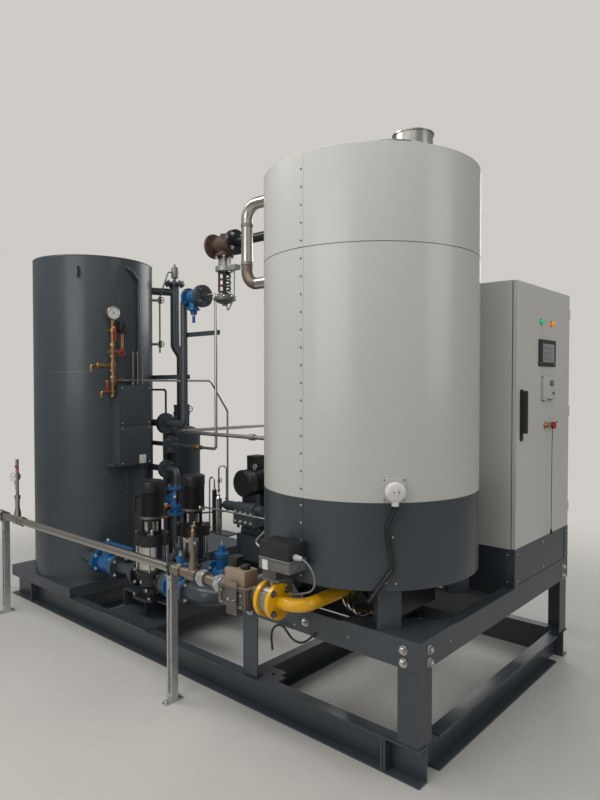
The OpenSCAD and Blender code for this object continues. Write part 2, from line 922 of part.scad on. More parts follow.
// Manifold with its dial gauge and branches, the gauge glass, and the small valve of the
// second tank line
module tank_manifold() {
    color(brass) at_skid() {
        difference() {
            for (z = standoff_z)
                translate([manifold_x - 80, manifold_y, z]) rod_x(80, standoff_d);
            tank_cutter();
        }
        translate([manifold_x, manifold_y, manifold_z0]) manifold_pipe();
        translate([manifold_x - gauge_t / 2, manifold_y, gauge_z])
            turned_x([[0, 0], [0, gauge_d * 0.46], [gauge_t * 0.6, gauge_d * 0.46],
                      [gauge_t * 0.6, gauge_d / 2], [gauge_t, gauge_d / 2], [gauge_t, 0]]);
        // tee to the right with the fitting of the switch
        pipe([[manifold_x, manifold_y, tee_z], [manifold_x, switch_y, tee_z],
              [manifold_x, switch_y, switch_z]], 20, branch_d);
        // check valve and elbow to the left
        pipe([[manifold_x, manifold_y, check_z], [manifold_x, elbow_y, check_z],
              [manifold_x, elbow_y, check_z - 48]], 20, branch_d);
        translate([manifold_x, manifold_y - 135, check_z])
            turned_y([[0, 0], [0, 16], [12, 22], [48, 22], [60, 16], [60, 0]]);
        // drain branch at the foot
        pipe([[manifold_x, manifold_y, drain_z], [manifold_x, manifold_y - 93, drain_z],
              [manifold_x, manifold_y - 93, drain_z - 40]], 18, branch_d);
        // union of the stainless branch line
        translate([manifold_x, manifold_y, union_z]) rod_y(union_y - manifold_y, branch_d);
        translate([manifold_x, union_y - union_l / 2, union_z]) rod_y(union_l, branch_d + 14);
        gauge_glass();
        translate([valve2_x, line1_y, line2_z])
            turned_x([[0, 0], [0, 17], [24, 17], [24, 14], [34, 20], [76, 20], [86, 14], [86, 17],
                      [valve2_l, 17], [valve2_l, 0]]);
    }
}

box_d = 86;
box_back = 40;
box_y0 = 353;
box_z0 = 1056;
ledge_h = 22;
ledge_l = 40;
conduit_d = 23;
conduit_out = 13;
conduit_y = [479, 580];
conduit_z = [2531, 2474];

// Place outside the tank at a distance from the front
function tank_out(y, out) = tank_cx + sqrt(pow(tank_d / 2 + out, 2) - pow(y - tank_y, 2));

// Sheet box for the tank's controls with a ledge at its foot, and the conduit down to it
module tank_control_box() {
    color(slate) at_skid() difference() {
        union() {
            translate([tank_face - box_back, box_y0, box_z0])
                cube([box_back + box_d, box_w, box_h]);
            translate([tank_face - box_back, box_y0 - ledge_l, box_z0])
                cube([box_back + box_d * 0.8, ledge_l + 1, ledge_h]);
            pipe([[tank_face - box_back, conduit_y[0], conduit_z[0]],
                  [tank_out(conduit_y[0], conduit_out + 18), conduit_y[0], conduit_z[0]],
                  [tank_out(conduit_y[1], conduit_out), conduit_y[1], conduit_z[1] - 30],
                  [tank_out(conduit_y[1], conduit_out), conduit_y[1], box_z0 + box_h - 1]],
                 24, conduit_d);
        }
        tank_cutter();
    }
}

// Pumps and their lines

base_w = 200;
base_corner = 30;
foot_t = 19;
base_port_l = 300;
port_flange_d = 150;
port_flange_t = 16;
rod_d = 13;
rod_r = 96;

module at_pumps() {
    at_skid()
        for (i = [0, 1])
            translate([-pump_x, pump_y + i * pump_pitch, pump_z]) children();
}

// Cast base with its inlet and outlet in one line
module pump_bases() {
    w = base_w / 2;
    r = sleeve_d / 2;
    color(black) at_pumps() {
        linear_extrude(foot_t)
            polygon([[w, w - base_corner], [w - base_corner, w], [base_corner - w, w],
                     [-w, w - base_corner], [-w, base_corner - w], [base_corner - w, -w],
                     [w - base_corner, -w], [w, base_corner - w]]);
        turned_z([[foot_t, 0], [foot_t, r - 22], [port_z - 50, r - 22], [port_z - 34, r - 8],
                  [pump_base_h - port_flange_t, r - 8], [pump_base_h - port_flange_t, r + 22],
                  [pump_base_h, r + 22], [pump_base_h, 0]]);
        translate([-base_port_l / 2, 0, port_z])
            turned_x([[0, 0], [0, port_flange_d / 2], [port_flange_t, port_flange_d / 2],
                      [port_flange_t, line_d * 0.6], [base_port_l - port_flange_t, line_d * 0.6],
                      [base_port_l - port_flange_t, port_flange_d / 2],
                      [base_port_l, port_flange_d / 2], [base_port_l, 0]]);
    }
}

flange_z = pump_base_h + sleeve_h;
stool_d = 124;
stool_wall = 12;
guard_wall = 2;
bottle_x = -2245;
bottle_y = 893;
bottle_d = 52;
bottle_h = 276;
shelf_z = 560;

// Stainless sleeves with their tie rods, the guards inside the stools and the sample bottle
module pump_sleeves() {
    color(steel) {
        at_pumps() {
            translate([0, 0, pump_base_h]) {
                rod_z(sleeve_h, sleeve_d);
                for (a = [45 : 90 : 315]) rotate([0, 0, a]) translate([rod_r, 0, 0]) rod_z(sleeve_h, rod_d);
            }
            translate([0, 0, flange_z + pump_flange_t])
                ring(stool_d - 2 * stool_wall - 2 * fit, stool_h, guard_wall);
        }
        at_skid() translate([bottle_x, bottle_y, shelf_z])
            turned_z([[0, 0], [0, bottle_d / 2], [bottle_h - 24, bottle_d / 2],
                      [bottle_h - 8, bottle_d * 0.28], [bottle_h, bottle_d * 0.28], [bottle_h, 0]]);
    }
}

lobe_cut_d = 90;
lobe_cut_r = 140;
window_w = 62;
window_z = 18;
terminal = [50, 92, 84];

// Lobed head, motor stool with its windows, and motor of each pump
module pump_motors() {
    r = motor_d / 2;
    color(black) at_pumps() translate([0, 0, flange_z]) {
        difference() {
            rod_z(pump_flange_t, pump_flange_d);
            for (a = [0 : 90 : 270]) rotate([0, 0, a])
                translate([lobe_cut_r, 0, -1]) rod_z(pump_flange_t + 2, lobe_cut_d);
        }
        translate([0, 0, pump_flange_t]) {
            difference() {
                ring(stool_d, stool_h, stool_wall);
                for (a = [0, 90]) rotate([0, 0, a])
                    translate([-stool_d, -window_w / 2, window_z])
                        cube([2 * stool_d, window_w, stool_h - 2 * window_z]);
            }
            translate([0, 0, stool_h])
                turned_z([[0, 0], [0, r], [10, r], [16, r - 7], [motor_h - 68, r - 7],
                          [motor_h - 68, r], [motor_h - 10, r], [motor_h, r - 10], [motor_h, 0]]);
            translate([-r - terminal[0] / 2, -terminal[1] / 2, stool_h + 36]) cube(terminal);
        }
    }
}

nozzle_x = tank_face + 61;
valve_l = 237;
line1_y = 800;
line1_z = 1353;
line2_z = 1190;
line3_y = 750;
line3_z = 1005;
line3_x = -2560;
line_s_d = 48;
line_flange3_d = 138;
line_flange2_d = 138;
header2_x = -pump_x - base_port_l / 2 - 135;
valve3_z = [671, 884];

// Pair of flanges on a line along X
module flange_pair(d) {
    rod_x(line_flange_t, d);
    translate([line_flange_t, 0, 0]) rod_x(line_flange_t, d - 5);
}

// Lines from the tank to both pumps
module suction_line() {
    valve_end = nozzle_x + line_flange_t + valve_l;
    port_x = -pump_x - base_port_l / 2;
    pair_x = tank_face + 90;
    color(slate) at_skid() {
        from_tank(pump_y, port_axis, nozzle_x, line_d);
        translate([nozzle_x, pump_y, port_axis]) rod_x(line_flange_t, line_flange_d);
        translate([valve_end, pump_y, port_axis]) {
            rod_x(line_flange_t, line_flange_d);
            rod_x(port_x - valve_end, line_d - elbow_step);
        }
        for (i = [0, 1])
            translate([port_x - line_flange_t, pump_y + i * pump_pitch, port_axis])
                rod_x(line_flange_t, port_flange_d);
        // header to the rear pump and up to the third line of the tank
        translate([header2_x, pump_y + pump_pitch, port_axis])
            rod_x(port_x - header2_x, line_d - elbow_step);
        pipe([[header2_x, pump_y, port_axis], [header2_x, line3_y, port_axis],
              [line3_x, line3_y, port_axis], [line3_x, line3_y, valve3_z[0]]], 64, line_d);
        from_tank(line3_y, line3_z, pair_x, line_s_d);
        translate([pair_x, line3_y, line3_z]) flange_pair(line_flange3_d);
        pipe([[pair_x, line3_y, line3_z], [line3_x, line3_y, line3_z],
              [line3_x, line3_y, valve3_z[1]]], 50, line_s_d);
    }
}

check_l = 55;
valve_s_l = 170;
bonnet_x = 90;

// Body of a flanged valve along X with its bonnet upwards
module valve(length, flange, belly, stem_x, stem_h) {
    t = line_flange_t;
    turned_x([[0, 0], [0, flange / 2], [t, flange / 2], [t, belly * 0.36],
              [length * 0.3, belly / 2], [length * 0.7, belly / 2],
              [length - t, belly * 0.36], [length - t, flange / 2], [length, flange / 2],
              [length, 0]]);
    translate([stem_x, 0, 0])
        turned_z([[0, 0], [0, belly * 0.34], [stem_h * 0.62, belly * 0.34],
                  [stem_h * 0.62, belly * 0.42], [stem_h * 0.74, belly * 0.42],
                  [stem_h * 0.78, belly * 0.24], [stem_h, belly * 0.2], [stem_h, 0]]);
}

lever_w = 24;
lever_t = 10;
valve1_x = -2476;
valve1_l = 150;

// Shut-off valves: in the suction line, behind each pump, in the tank's second line and at
// the head of the slim riser
module line_valves() {
    port_x = -pump_x + base_port_l / 2;
    color(blue) at_skid() {
        translate([nozzle_x + line_flange_t, pump_y, port_axis]) {
            valve(valve_l, line_flange_d - 5, 120, valve_l * 0.45, 156);
            translate([valve_l * 0.4, -lever_w / 2, 156 - lever_t]) cube([320, lever_w, lever_t]);
        }
        for (i = [0, 1])
            translate([port_x + check_l, pump_y + i * pump_pitch, port_axis])
                valve(valve_s_l, line_flange_d - 5, 116, bonnet_x, 200);
        translate([line3_x, line3_y, valve3_z[0]]) rotate([0, -90, 0])
            valve(valve3_z[1] - valve3_z[0], line_flange3_d + 8, 112,
                  (valve3_z[1] - valve3_z[0]) / 2, 96);
        translate([valve1_x, line1_y, riser2_top]) rotate([180, 0, 0])
            valve(valve1_l, 146, 112, valve1_l * 0.42, 130);
        translate([valve1_x + valve1_l * 0.42 - lever_w / 2, line1_y - lever_t / 2,
                   riser2_top - 190])
            cube([lever_w, lever_t, 70]);
    }
}

header_x = -pump_x + base_port_l / 2 + 445;
header_d = 114;
crank_x0 = -pump_x - 14;
crank_w = 259;
crank_y0 = 950;
crank_l = 380;
crank_z0 = 410;
crank_top = 710;
feed_in_y = 1160;

// Lines from both pumps to the header that runs to the feed pump
module discharge_line() {
    port_x = -pump_x + base_port_l / 2;
    flange_x = port_x + check_l + valve_s_l;
    color(slate) at_skid() {
        for (i = [0, 1]) {
            translate([port_x, pump_y + i * pump_pitch, port_axis]) rod_x(check_l, port_flange_d - 6);
            translate([flange_x, pump_y + i * pump_pitch, port_axis])
                rod_x(line_flange_t, line_flange_d);
        }
        translate([flange_x, pump_y + pump_pitch, port_axis]) rod_x(header_x - flange_x, line_d);
        pipe([[flange_x, pump_y, port_axis], [header_x, pump_y, port_axis],
              [header_x, feed_in_y, port_axis], [crank_x0 + crank_w, feed_in_y, port_axis]],
             110, header_d);
    }
}

// Separator and risers

sep_z = plat_top + sep_leg_h;

module at_separator(z) {
    at_skid() translate([sep_cx, sep_y, z]) children();
}

module separator_shell() {
    color(slate) at_separator(sep_z) ring(sep_d, sep_h, 6);
}

dome_h = 70;
neck_h = 20;
sep_leg_d = 34;
sep_leg_in = 60;

// Half of a dished end, as a profile
module dome_profile() {
    intersection() {
        scale([1, dome_h * 2 / sep_d]) circle(d = sep_d);
        square([sep_d, dome_h]);
    }
}

// Dished ends with the legs under the lower one
module separator_ends() {
    color(slate) {
        at_separator(sep_z + sep_h) {
            rotate_extrude() dome_profile();
            rod_z(dome_h + neck_h, riser_d);
        }
        at_separator(sep_z) rotate_extrude() mirror([0, 1]) dome_profile();
        at_separator(plat_top)
            for (a = [45 : 90 : 315]) rotate([0, 0, a])
                translate([sep_d / 2 - sep_leg_in, 0, 0]) rod_z(sep_leg_h - 20, sep_leg_d);
    }
}

riser_at = [-39, -33];
riser_jog_z = [1900, 1980];
riser2_x = -2530;
vent_z = 2430;
vent_d = 60;
flange1_x = -2778;
flange2_x = -2712;
brace_z = [1700, 2020];
brace_h = 34;
brace_t = 8;
drain_at = [-2896, 900];
drain_top = 1616;
drain_d = 17;

// The large riser with its jog and vent, the slim riser with its bend, the first two lines
// of the tank, and the braces between them
module riser_pipes() {
    head = [sep_cx + riser_at[0], sep_y + riser_at[1]];
    sep_top = sep_z + sep_h + dome_h + neck_h;
    to_tank = unit([tank_cx - head[0], tank_y - head[1], 0]);
    bend_start = riser2_x - 90;
    color(slate) at_skid() {
        pipe([[sep_cx, sep_y, sep_top], [sep_cx, sep_y, riser_jog_z[0]],
              [head[0], head[1], riser_jog_z[1]], [head[0], head[1], riser_top]], 80, riser_d);
        translate([head[0], head[1], riser_top - line_flange_t])
            rod_z(line_flange_t, line_flange_d);
        difference() {
            run([head[0], head[1], vent_z], [head[0], head[1], vent_z] + to_tank * 400, vent_d);
            tank_cutter();
        }
        // slim riser
        from_tank(line1_y, line1_z, bend_start, riser2_d);
        pipe([[bend_start, line1_y, line1_z], [riser2_x, line1_y, line1_z],
              [riser2_x, line1_y, riser2_top], [valve1_x, line1_y, riser2_top]], 46, riser2_d);
        translate([flange1_x, line1_y, line1_z]) flange_pair(line_flange_d);
        translate([valve1_x + valve1_l, line1_y, riser2_top]) {
            flange_pair(line_flange_d);
            rod_x(3 * line_flange_t, riser2_d);
        }
        // second line of the tank
        from_tank(line1_y, line2_z, flange2_x, line_s_d * 0.75);
        translate([flange2_x, line1_y, line2_z]) {
            flange_pair(line_flange2_d);
            rod_x(valve2_x - flange2_x, line_s_d * 0.56);
        }
        // braces and drain
        difference() {
            translate([tank_cx, line1_y + riser2_d / 2 - 3, brace_z[0]])
                cube([riser2_x - tank_cx + 30, brace_t, brace_h]);
            tank_cutter();
        }
        translate([riser2_x - 30, line1_y + riser2_d / 2 - 3, brace_z[1]])
            cube([slim_x - riser2_x + 40, brace_t, brace_h]);
        from_tank(drain_at[1], drain_top, drain_at[0] - 30, drain_d);
        pipe([[drain_at[0] - 30, drain_at[1], drain_top], [drain_at[0], drain_at[1], drain_top],
              [drain_at[0], drain_at[1], plat_top]], 24, drain_d);
    }
}

// Regulating valve, steam line and return lines

steam_y = 650;
reg_x = -drum_x - 1486;
reg_l = 221;
reg_bore_d = 50;
bolt_circle = 125;
bolt_hole_d = 18;
spindle_x = 116;
bonnet_z = 83;
yoke_z = 150;
yoke_t = 32;
yoke_rod_d = 10;
yoke_rod_x = 52;
diaphragm_z = 370;
diaphragm_h = 64;
spindle_d = 26;
end_lap = 4;
lap_step = 0.7;

// Coil spring upwards from z = 0: half rings, each tilted the other way, so that every end
// meets the next one without a kink; every other half is a touch thicker and laps its
// neighbours, and the first and last lie flat
module coil(height) {
    r = (spring_d - spring_wire) / 2;
    low = (spring_wire + lap_step) / 2;
    rise = (height - 2 * low) / (spring_halves - 2);
    tilt = asin(rise / (2 * r));
    for (i = [0 : spring_halves - 1]) {
        end = i == 0 || i == spring_halves - 1;
        thick = i % 2 == 0;
        lap = thick ? end_lap : 0;
        level = low + (i == 0 ? 0 : end ? (i - 1) * rise : (i - 0.5) * rise);
        translate([0, 0, level]) rotate([0, 0, thick ? 0 : 180])
            rotate([0, end ? 0 : tilt, 0]) rotate([0, 0, -lap])
                rotate_extrude(angle = 180 + 2 * lap)
                    translate([end ? r * cos(tilt) : r, 0])
                        circle(d = spring_wire + (thick ? lap_step : 0));
    }
}

// Spring-loaded valve: body with two flanges, yoke, coil spring and diaphragm housing
module regulator_valve() {
    r = line_flange_d / 2;
    t = line_flange_t;
    spring_h = diaphragm_z - diaphragm_h / 2 - yoke_z - yoke_t;
    color(brown) at_skid() translate([reg_x, steam_y, steam_z]) {
        difference() {
            union() {
                turned_x([[0, 0], [0, r], [t, r], [t + 4, r * 0.48], [50, r * 0.52],
                          [80, r * 0.74], [112, r * 0.8], [144, r * 0.74], [170, r * 0.54],
                          [reg_l - t - 4, r * 0.5], [reg_l - t, r], [reg_l, r], [reg_l, 0]]);
                translate([spindle_x, 0, 0]) rod_z(68, 58);
            }
            translate([-1, 0, 0]) rod_x(60, reg_bore_d);
            for (a = [45 : 90 : 315]) rotate([a, 0, 0])
                translate([-1, 0, bolt_circle / 2]) rod_x(t + 8, bolt_hole_d);
        }
        translate([spindle_x, 0, 0]) mirror([0, 0, 1]) {
            // bonnet, ring of the yoke and its two posts
            turned_z([[0, 0], [0, 44], [bonnet_z - 18, 44], [bonnet_z - 18, 62], [bonnet_z, 62],
                      [bonnet_z, 24], [yoke_z, 24], [yoke_z, 0]]);
            for (side = [-1, 1]) translate([side * yoke_rod_x, 0, 0]) {
                translate([0, 0, bonnet_z - 4]) rod_z(yoke_z - bonnet_z + 6, 18);
                rod_z_from(yoke_z, diaphragm_z - diaphragm_h / 2 + 2);
            }
            translate([0, 0, yoke_z]) rod_z(yoke_t, 2 * yoke_rod_x + 20);
            translate([0, -24, yoke_z]) cube([132, 48, yoke_t]);
            translate([0, 0, yoke_z + yoke_t - 1]) rod_z(diaphragm_z - yoke_z - yoke_t, spindle_d);
            translate([0, 0, yoke_z + yoke_t - 1]) coil(spring_h + 2);
            // diaphragm housing with its clamped rim
            translate([0, 0, diaphragm_z - diaphragm_h / 2])
                turned_z([[0, 0], [0, spring_d * 0.62], [10, diaphragm_d * 0.42],
                          [20, diaphragm_d * 0.44], [22, diaphragm_d / 2],
                          [38, diaphragm_d / 2], [40, diaphragm_d * 0.44],
                          [diaphragm_h - 8, diaphragm_d * 0.3], [diaphragm_h, 16],
                          [diaphragm_h + 10, 16], [diaphragm_h + 10, 0]]);
        }
    }
}

// Thin rod of the yoke between two heights
module rod_z_from(low, high) {
    translate([0, 0, low]) rod_z(high - low, yoke_rod_d);
}

steam_d = 60;

module steam_line() {
    color(black) at_skid() {
        translate([reg_x + reg_l, steam_y, steam_z]) rod_x(line_flange_t, line_flange_d);
        to_drum(reg_x + reg_l, steam_y, steam_z, steam_d);
    }
}

loop_y = 120;
loop_x = 600;
loop_z = [2187, 2607];
loop_d = 60;
loop_in = 520;
slim_x = -2165;
slim_d = 21;
feed_line_y = 745;
feed_line_x = -2549;
feed_line_z = 1302;
feed_line_d = 27;
feed_union_x = -1755;
branch_x = -2770;
branch_route = [[1267, 1680], [1457, 1430], [1457, 560]];

// U-shaped return pipe into the drum, and the stainless lines between tank, risers,
// separator and drum
module return_loop() {
    color(steel) at_skid() {
        for (z = loop_z) to_drum(-drum_x - loop_in, loop_y, z, loop_d);
        pipe([[-drum_x - loop_in, loop_y, loop_z[0]], [-drum_x - loop_x, loop_y, loop_z[0]],
              [-drum_x - loop_x, loop_y, loop_z[1]], [-drum_x - loop_in, loop_y, loop_z[1]]],
             76, loop_d);
        // feed line along the back, and down to the skid
        to_drum(feed_union_x, feed_line_y, feed_line_z, feed_line_d);
        translate([feed_union_x, feed_line_y, feed_line_z]) rod_x(44, feed_line_d + 16);
        pipe([[feed_union_x, feed_line_y, feed_line_z], [feed_line_x, feed_line_y, feed_line_z],
              [feed_line_x, skid_w - beam_b / 2, feed_line_z],
              [feed_line_x, skid_w - beam_b / 2, beam_h]], 36, feed_line_d);
        // slim line from the head of the slim riser
        pipe([[valve1_x + valve1_l + 3 * line_flange_t, line1_y, riser2_top],
              [slim_x, line1_y, riser2_top], [slim_x, line1_y, line2_z],
              [valve2_x + valve2_l, line1_y, line2_z]], 30, slim_d);
        // branch into the separator
        difference() {
            translate([branch_x, branch_route[1][0], branch_route[2][1]])
                run([0, 0, 0], [sep_cx - branch_x, sep_y - branch_route[1][0], 0], drain_d);
            translate([sep_cx, sep_y, sep_z]) cylinder(h = sep_h, d = sep_d + 2 * fit, $fn = 96);
        }
        pipe([[branch_x, union_y + union_l / 2, union_z],
              [branch_x, branch_route[0][0], union_z],
              [branch_x, branch_route[1][0], branch_route[1][1]],
              [branch_x, branch_route[1][0], branch_route[2][1] - drain_d / 2]], 40, drain_d);
    }
}

// Feed pump

feed_motor_x = -2055;
feed_motor_z = 931;
feed_motor_d = 196;
feed_motor_l = 350;
head_y0 = 900;
head_z = [640, 755];
end_x = -2237;
end_l = 407;
shelf_w = 100;
shelf_l = 230;
shelf_x = -2319;
shelf_t = 8;
can_at = [-2300, 900];
can_d = 35;
can_h = 304;

// Plunger pump: frame, crankcase, head with its stepped manifold, saddle and shelf
module feed_pump() {
    bay = 34;
    bay_w = crank_w - 2 * bay;
    color(slate) at_skid() {
        difference() {
            translate([crank_x0, crank_y0, deck_top])
                cube([crank_w, crank_l + 40, crank_z0 - deck_top]);
            translate([crank_x0 + bay, crank_y0 - 1, deck_top + bay])
                cube([bay_w, crank_l + 42, crank_z0 - deck_top - 2 * bay]);
        }
        translate([crank_x0, crank_y0, crank_z0]) cube([crank_w, crank_l, 150]);
        translate([crank_x0, crank_y0 + crank_l / 2, crank_top - 150]) rod_x(crank_w, 300);
        // head with the stepped manifold across it
        translate([crank_x0 + 17, head_y0, head_z[0]])
            cube([crank_w - 34, crank_y0 + 60 - head_y0, head_z[1] - head_z[0]]);
        translate([end_x, crank_y0, head_z[1]])
            turned_x([[0, 0], [0, 30], [25, 30], [25, 36], [145, 36], [145, 42], [266, 42],
                      [266, 47.5], [340, 47.5], [340, 35], [end_l, 35], [end_l, 0]]);
        difference() {
            for (y = [80, 250])
                translate([feed_motor_x - 80, crank_y0 + y, crank_top - 50]) cube([160, 26, 190]);
            translate([feed_motor_x, crank_y0 - 1, feed_motor_z])
                rod_y(feed_motor_l + 2, feed_motor_d - 12 + 2 * fit);
        }
        translate([shelf_x, bottle_y - shelf_w / 2, shelf_z - shelf_t])
            cube([shelf_l, shelf_w + 10, shelf_t]);
    }
}

// Motor of the feed pump with its terminal box, and the dark can on the shelf
module feed_pump_motor() {
    r = feed_motor_d / 2;
    color(black) at_skid() {
        translate([feed_motor_x, crank_y0, feed_motor_z])
            turned_y([[0, 0], [0, r - 12], [10, r], [72, r], [72, r - 6],
                      [feed_motor_l - 60, r - 6], [feed_motor_l - 60, r], [feed_motor_l - 20, r],
                      [feed_motor_l - 10, r * 0.6], [feed_motor_l, r * 0.6], [feed_motor_l, 0]]);
        translate([feed_motor_x - 95, crank_y0 + 145, feed_motor_z + 60]) cube([92, 112, 116]);
        translate([can_at[0], can_at[1], shelf_z]) rod_z(can_h, can_d);
    }
}

// Gas train

block_x = drum_x + 388;
post_x = [block_x + 430, skid_l - 388];
gas_end = skid_l - 350;
gas_valve_l = 100;
nut_d = 70;
nut_l = 36;
gas_branch_d = 30;
tee_x = [block_x + 258, skid_l - 580];
tee_top = [918, 1130];
nut_x = [block_x + 28, block_x + 169, block_x + 365, skid_l - 651];

// Gas pipe with its unions and the two branches that stand on it
module gas_pipe() {
    color(steel) at_skid() translate([0, -gas_y, gas_z]) {
        translate([-gas_end, 0, 0]) rod_x(gas_end - block_x, gas_d);
        for (x = nut_x) translate([-x - nut_l / 2, 0, 0]) rotate([0, 90, 0])
            cylinder(h = nut_l, d = nut_d, $fn = 6);
        for (i = [0, 1]) translate([-tee_x[i], 0, 0]) {
            translate([-gas_d / 2 - 12, 0, 0]) rod_x(gas_d + 24, gas_d + 14);
            turned_z([[0, 0], [0, gas_branch_d / 2 + 8], [62, gas_branch_d / 2 + 8],
                      [62, gas_branch_d / 2 + 3], [86, gas_branch_d / 2 + 3],
                      [86, gas_branch_d / 2], [150, gas_branch_d / 2],
                      [150, gas_branch_d / 2 + 5], [176, gas_branch_d / 2 + 5],
                      [176, gas_branch_d * 0.36], [tee_top[i] - gas_z, gas_branch_d * 0.36],
                      [tee_top[i] - gas_z, 0]]);
        }
    }
}

post_foot_t = 6;
clamp_w = 30;
clamp_t = 5;

// Strut posts with their base plates and the clamps round the pipe
module gas_posts() {
    color(zinc) at_skid()
        for (x = post_x)
            translate([-x, -gas_y, 0]) {
                translate([-strut / 2, -strut_foot / 2, 0]) cube([strut, strut_foot, post_foot_t]);
                difference() {
                    translate([-strut / 2, -strut / 2, post_foot_t])
                        cube([strut, strut, gas_z - post_foot_t]);
                    translate([-strut, 0, gas_z]) rod_x(2 * strut, gas_d + 2 * fit);
                    translate([-strut / 4, -strut, post_foot_t + 40])
                        cube([strut / 2, strut / 2 + 12, gas_z - gas_d - post_foot_t - 80]);
                }
                translate([-clamp_w / 2, 0, gas_z]) difference() {
                    rod_x(clamp_w, gas_d + 2 * fit + 2 * clamp_t);
                    translate([-1, 0, 0]) rod_x(clamp_w + 2, gas_d + 2 * fit);
                }
            }
}

flange_x = drum_x + 135;
wafer_l = 50;
wafer_d = 132;
block = [187, 120, 96];
block_low = 65;
coil_box = [129, 84, 72];
actuator = [177, 112, 123];
actuator_z = 150;

// Valve block with its coil, the actuated valve between the flanges, and the end valve
module gas_valves() {
    color(zinc) at_skid() translate([0, -gas_y, gas_z]) {
        difference() {
            translate([-block_x, -block[1] / 2, -block_low]) cube(block);
            for (x = [22, 107])
                translate([x - block_x, -block[1] / 2 - 1, 16 - block_low]) cube([58, 7, 64]);
        }
        translate([block[0] - block_x - 1, 0, 0]) rod_x(block_x - block[0] - flange_x + 1, 76);
        translate([29 - block_x, -coil_box[1] / 2, block[2] - block_low - 1]) cube(coil_box);
        translate([gas_flange_t - flange_x, 0, 0]) rod_x(wafer_l, wafer_d);
        translate([gas_flange_t + wafer_l / 2 - flange_x, 0, 0]) {
            rod_z(actuator_z, 30);
            translate([-40, -24, 94]) cube([80, 48, actuator_z - 94 + 1]);
        }
        translate([-650, -actuator[1] / 2, actuator_z]) cube(actuator);
        translate([-gas_end - gas_valve_l, 0, 0])
            turned_x([[0, 0], [0, 30], [20, 30], [20, 26], [32, 38], [68, 38], [80, 26],
                      [80, 30], [gas_valve_l, 30], [gas_valve_l, 0]]);
    }
}

bend_x = drum_x - 70;

// Yellow flanges and pipe to the windbox
module gas_flange_pipe() {
    pipe_x = flange_x - 2 * gas_flange_t - wafer_l;
    color(yellow) at_skid() translate([0, -gas_y, gas_z]) {
        translate([-flange_x, 0, 0]) rod_x(gas_flange_t, gas_flange_d);
        translate([-pipe_x - gas_flange_t, 0, 0]) rod_x(gas_flange_t, gas_flange_d);
        pipe([[-pipe_x, 0, 0], [-bend_x, 0, 0],
              [-bend_x, gas_y + drum_y - windbox_w / 2, 0]], 76, gas_yellow_d);
    }
}

skid_beams();
skid_cross_members();
tank_platform();
pump_deck();
stand_legs();
stand_frame();
drum_feet();
drum_floor();
drum_skirt();
drum_casing();
drum_upper_casing();
drum_roof();
flue_collar();
burner_windbox();
level_sensor();
cabinet_plinth();
cabinet_frame();
cabinet_back();
mounting_plate();
cabinet_door();
door_handle();
door_fittings();
tank_floor();
tank_shell();
tank_roof();
tank_manifold();
tank_control_box();
suction_line();
line_valves();
pump_bases();
pump_sleeves();
pump_motors();
discharge_line();
separator_shell();
separator_ends();
riser_pipes();
regulator_valve();
steam_line();
return_loop();
feed_pump();
feed_pump_motor();
gas_pipe();
gas_posts();
gas_valves();
gas_flange_pipe();
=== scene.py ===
"""Dresses the skid-mounted boiler plant: finishes for every node, and the small pieces on it."""
import json
import logging
import math
from collections.abc import Callable, Sequence
from dataclasses import dataclass
from enum import Enum

import bpy
import numpy as np
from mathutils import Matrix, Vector


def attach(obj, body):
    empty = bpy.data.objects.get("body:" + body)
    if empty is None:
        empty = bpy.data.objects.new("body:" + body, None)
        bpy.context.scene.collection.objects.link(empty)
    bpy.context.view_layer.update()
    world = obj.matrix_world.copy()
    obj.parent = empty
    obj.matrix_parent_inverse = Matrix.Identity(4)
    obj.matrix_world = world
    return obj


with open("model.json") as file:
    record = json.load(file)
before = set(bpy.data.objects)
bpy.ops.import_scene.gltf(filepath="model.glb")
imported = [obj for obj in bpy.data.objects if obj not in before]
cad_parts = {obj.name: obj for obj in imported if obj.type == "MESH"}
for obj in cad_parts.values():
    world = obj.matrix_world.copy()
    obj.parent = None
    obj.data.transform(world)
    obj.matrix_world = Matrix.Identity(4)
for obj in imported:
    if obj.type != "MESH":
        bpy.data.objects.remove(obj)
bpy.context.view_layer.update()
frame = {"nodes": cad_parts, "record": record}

Array = np.ndarray
LOG = logging.getLogger("boiler_plant")
X_AXIS, Y_AXIS, Z_AXIS = np.eye(3)
TAU = 2.0 * math.pi

# The skid's front right bottom corner in the part's frame, in metres.
SKID_CORNER = (1.833, -0.7275)
# Rolls in radians: a shape set across, and a lever set on its edge.
QUARTER = 1.5708
EDGE_ON = 1.57
# Angle in degrees past which the edges of small machined pieces stay crisp.
CRISP = 25.0
# The places across the skid of the two booster pumps.
PUMP_ROWS = (0.19, 0.53)


def skid(x: float, y: float, z: float) -> Array:
    """A place given from the skid's front right bottom corner, put in the part's frame."""
    return np.array([x + SKID_CORNER[0], y + SKID_CORNER[1], z])


def lattice(xs: Sequence[float], ys: Sequence[float], zs: Sequence[float]) -> Array:
    """All places of a lattice given from the skid's corner, one row each, z changing fastest."""
    return np.array([skid(x, y, z) for x in xs for y in ys for z in zs])


def facing(axis: Array, roll: float = 0.0) -> Array:
    """Turn that carries +Z to an axis.

    Args:
        axis: direction that the shape's own +Z ends up along.
        roll: angle in radians by which the shape is first turned about its +Z.

    Returns:
        A 3 by 3 matrix whose columns are the shape's own axes.
    """
    along = np.asarray(axis, float) / np.linalg.norm(axis)
    helper = Z_AXIS if abs(along[2]) < 0.9 else X_AXIS
    across = np.cross(helper, along)
    across /= np.linalg.norm(across)
    over = np.cross(along, across)
    cos, sin = math.cos(roll), math.sin(roll)
    return np.stack([cos * across + sin * over, cos * over - sin * across, along], axis=1)


